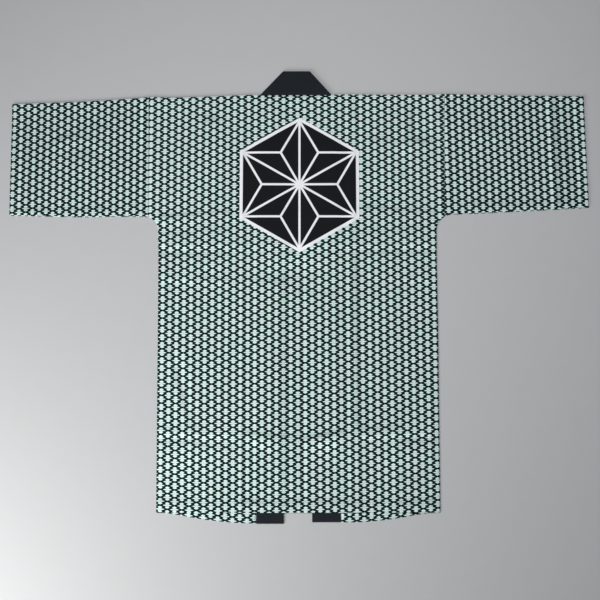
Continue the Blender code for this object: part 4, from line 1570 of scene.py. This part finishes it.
def add_soft_light(name, location, power, colour):
    """A square soft light that faces the middle of the coat."""
    light = bpy.data.lights.new(name, "AREA")
    light.size = LIGHT_SIZE
    light.energy = power
    light.color = colour
    lamp = bpy.data.objects.new(name, light)
    lamp.location = location
    lamp.rotation_euler = Vector(location).to_track_quat("Z", "Y").to_euler()
    lamp.visible_camera = False
    bpy.context.scene.collection.objects.link(lamp)


class HAPPI_OT_stage(bpy.types.Operator):
    """Set the floor, the soft lights and the camera over the coat."""

    bl_idname = "happi.stage"
    bl_label = "Stage"

    def execute(self, context):
        scene = context.scene
        look = scene.happi_stage
        plane = bmesh.new()
        bmesh.ops.create_grid(plane, x_segments=2, y_segments=2, size=FLOOR_REACH)
        floor = add_object("floor", plane, floor_finish(look.floor))

        add_soft_light("key_light", KEY_PLACE, look.key, KEY_COLOUR)
        add_soft_light("fill_light", FILL_PLACE, look.fill, FILL_COLOUR)
        world = bpy.data.worlds.new("studio")
        world.use_nodes = True
        sky = world.node_tree.nodes["Background"]
        sky.inputs["Color"].default_value = SKY_COLOUR
        sky.inputs["Strength"].default_value = look.sky
        scene.world = world

        lens = bpy.data.cameras.new("camera")
        lens.lens = CAMERA_LENS
        lens.sensor_width = 36.0
        lens.clip_start = 0.01
        camera = bpy.data.objects.new("camera", lens)
        camera.location = CAMERA_PLACE
        camera.rotation_euler = (math.radians(CAMERA_TILT), 0, 0)
        scene.collection.objects.link(camera)
        scene.camera = camera
        scene.view_settings.view_transform = "Standard"
        return {"FINISHED"}


class HAPPI_PT_panel(bpy.types.Panel):
    """Sizes, colours and steps of the happi coat."""

    bl_idname = "HAPPI_PT_panel"
    bl_label = "Happi coat"
    bl_space_type = "VIEW_3D"
    bl_region_type = "UI"
    bl_category = "Happi coat"

    def draw(self, context):
        for group in (context.scene.happi_cloth, context.scene.happi_print,
                      context.scene.happi_stage):
            box = self.layout.box()
            for name in group.__annotations__:
                box.prop(group, name)
        for step in STEPS:
            self.layout.operator(step.bl_idname)


STEPS = (HAPPI_OT_fronts, HAPPI_OT_sleeves, HAPPI_OT_collar, HAPPI_OT_back, HAPPI_OT_sewing,
         HAPPI_OT_stage)
GROUPS = (HappiCloth, HappiPrint, HappiStage)


def register():
    for item in GROUPS + STEPS + (HAPPI_PT_panel,):
        bpy.utils.register_class(item)
    bpy.types.Scene.happi_cloth = PointerProperty(type=HappiCloth)
    bpy.types.Scene.happi_print = PointerProperty(type=HappiPrint)
    bpy.types.Scene.happi_stage = PointerProperty(type=HappiStage)


def unregister():
    del bpy.types.Scene.happi_stage
    del bpy.types.Scene.happi_print
    del bpy.types.Scene.happi_cloth
    for item in reversed(GROUPS + STEPS + (HAPPI_PT_panel,)):
        bpy.utils.unregister_class(item)


def main():
    register()
    bpy.ops.happi.fronts()
    bpy.ops.happi.sleeves()
    bpy.ops.happi.collar()
    bpy.ops.happi.back()
    bpy.ops.happi.sewing()
    bpy.ops.happi.stage()


if __name__ == "__main__":
    main()
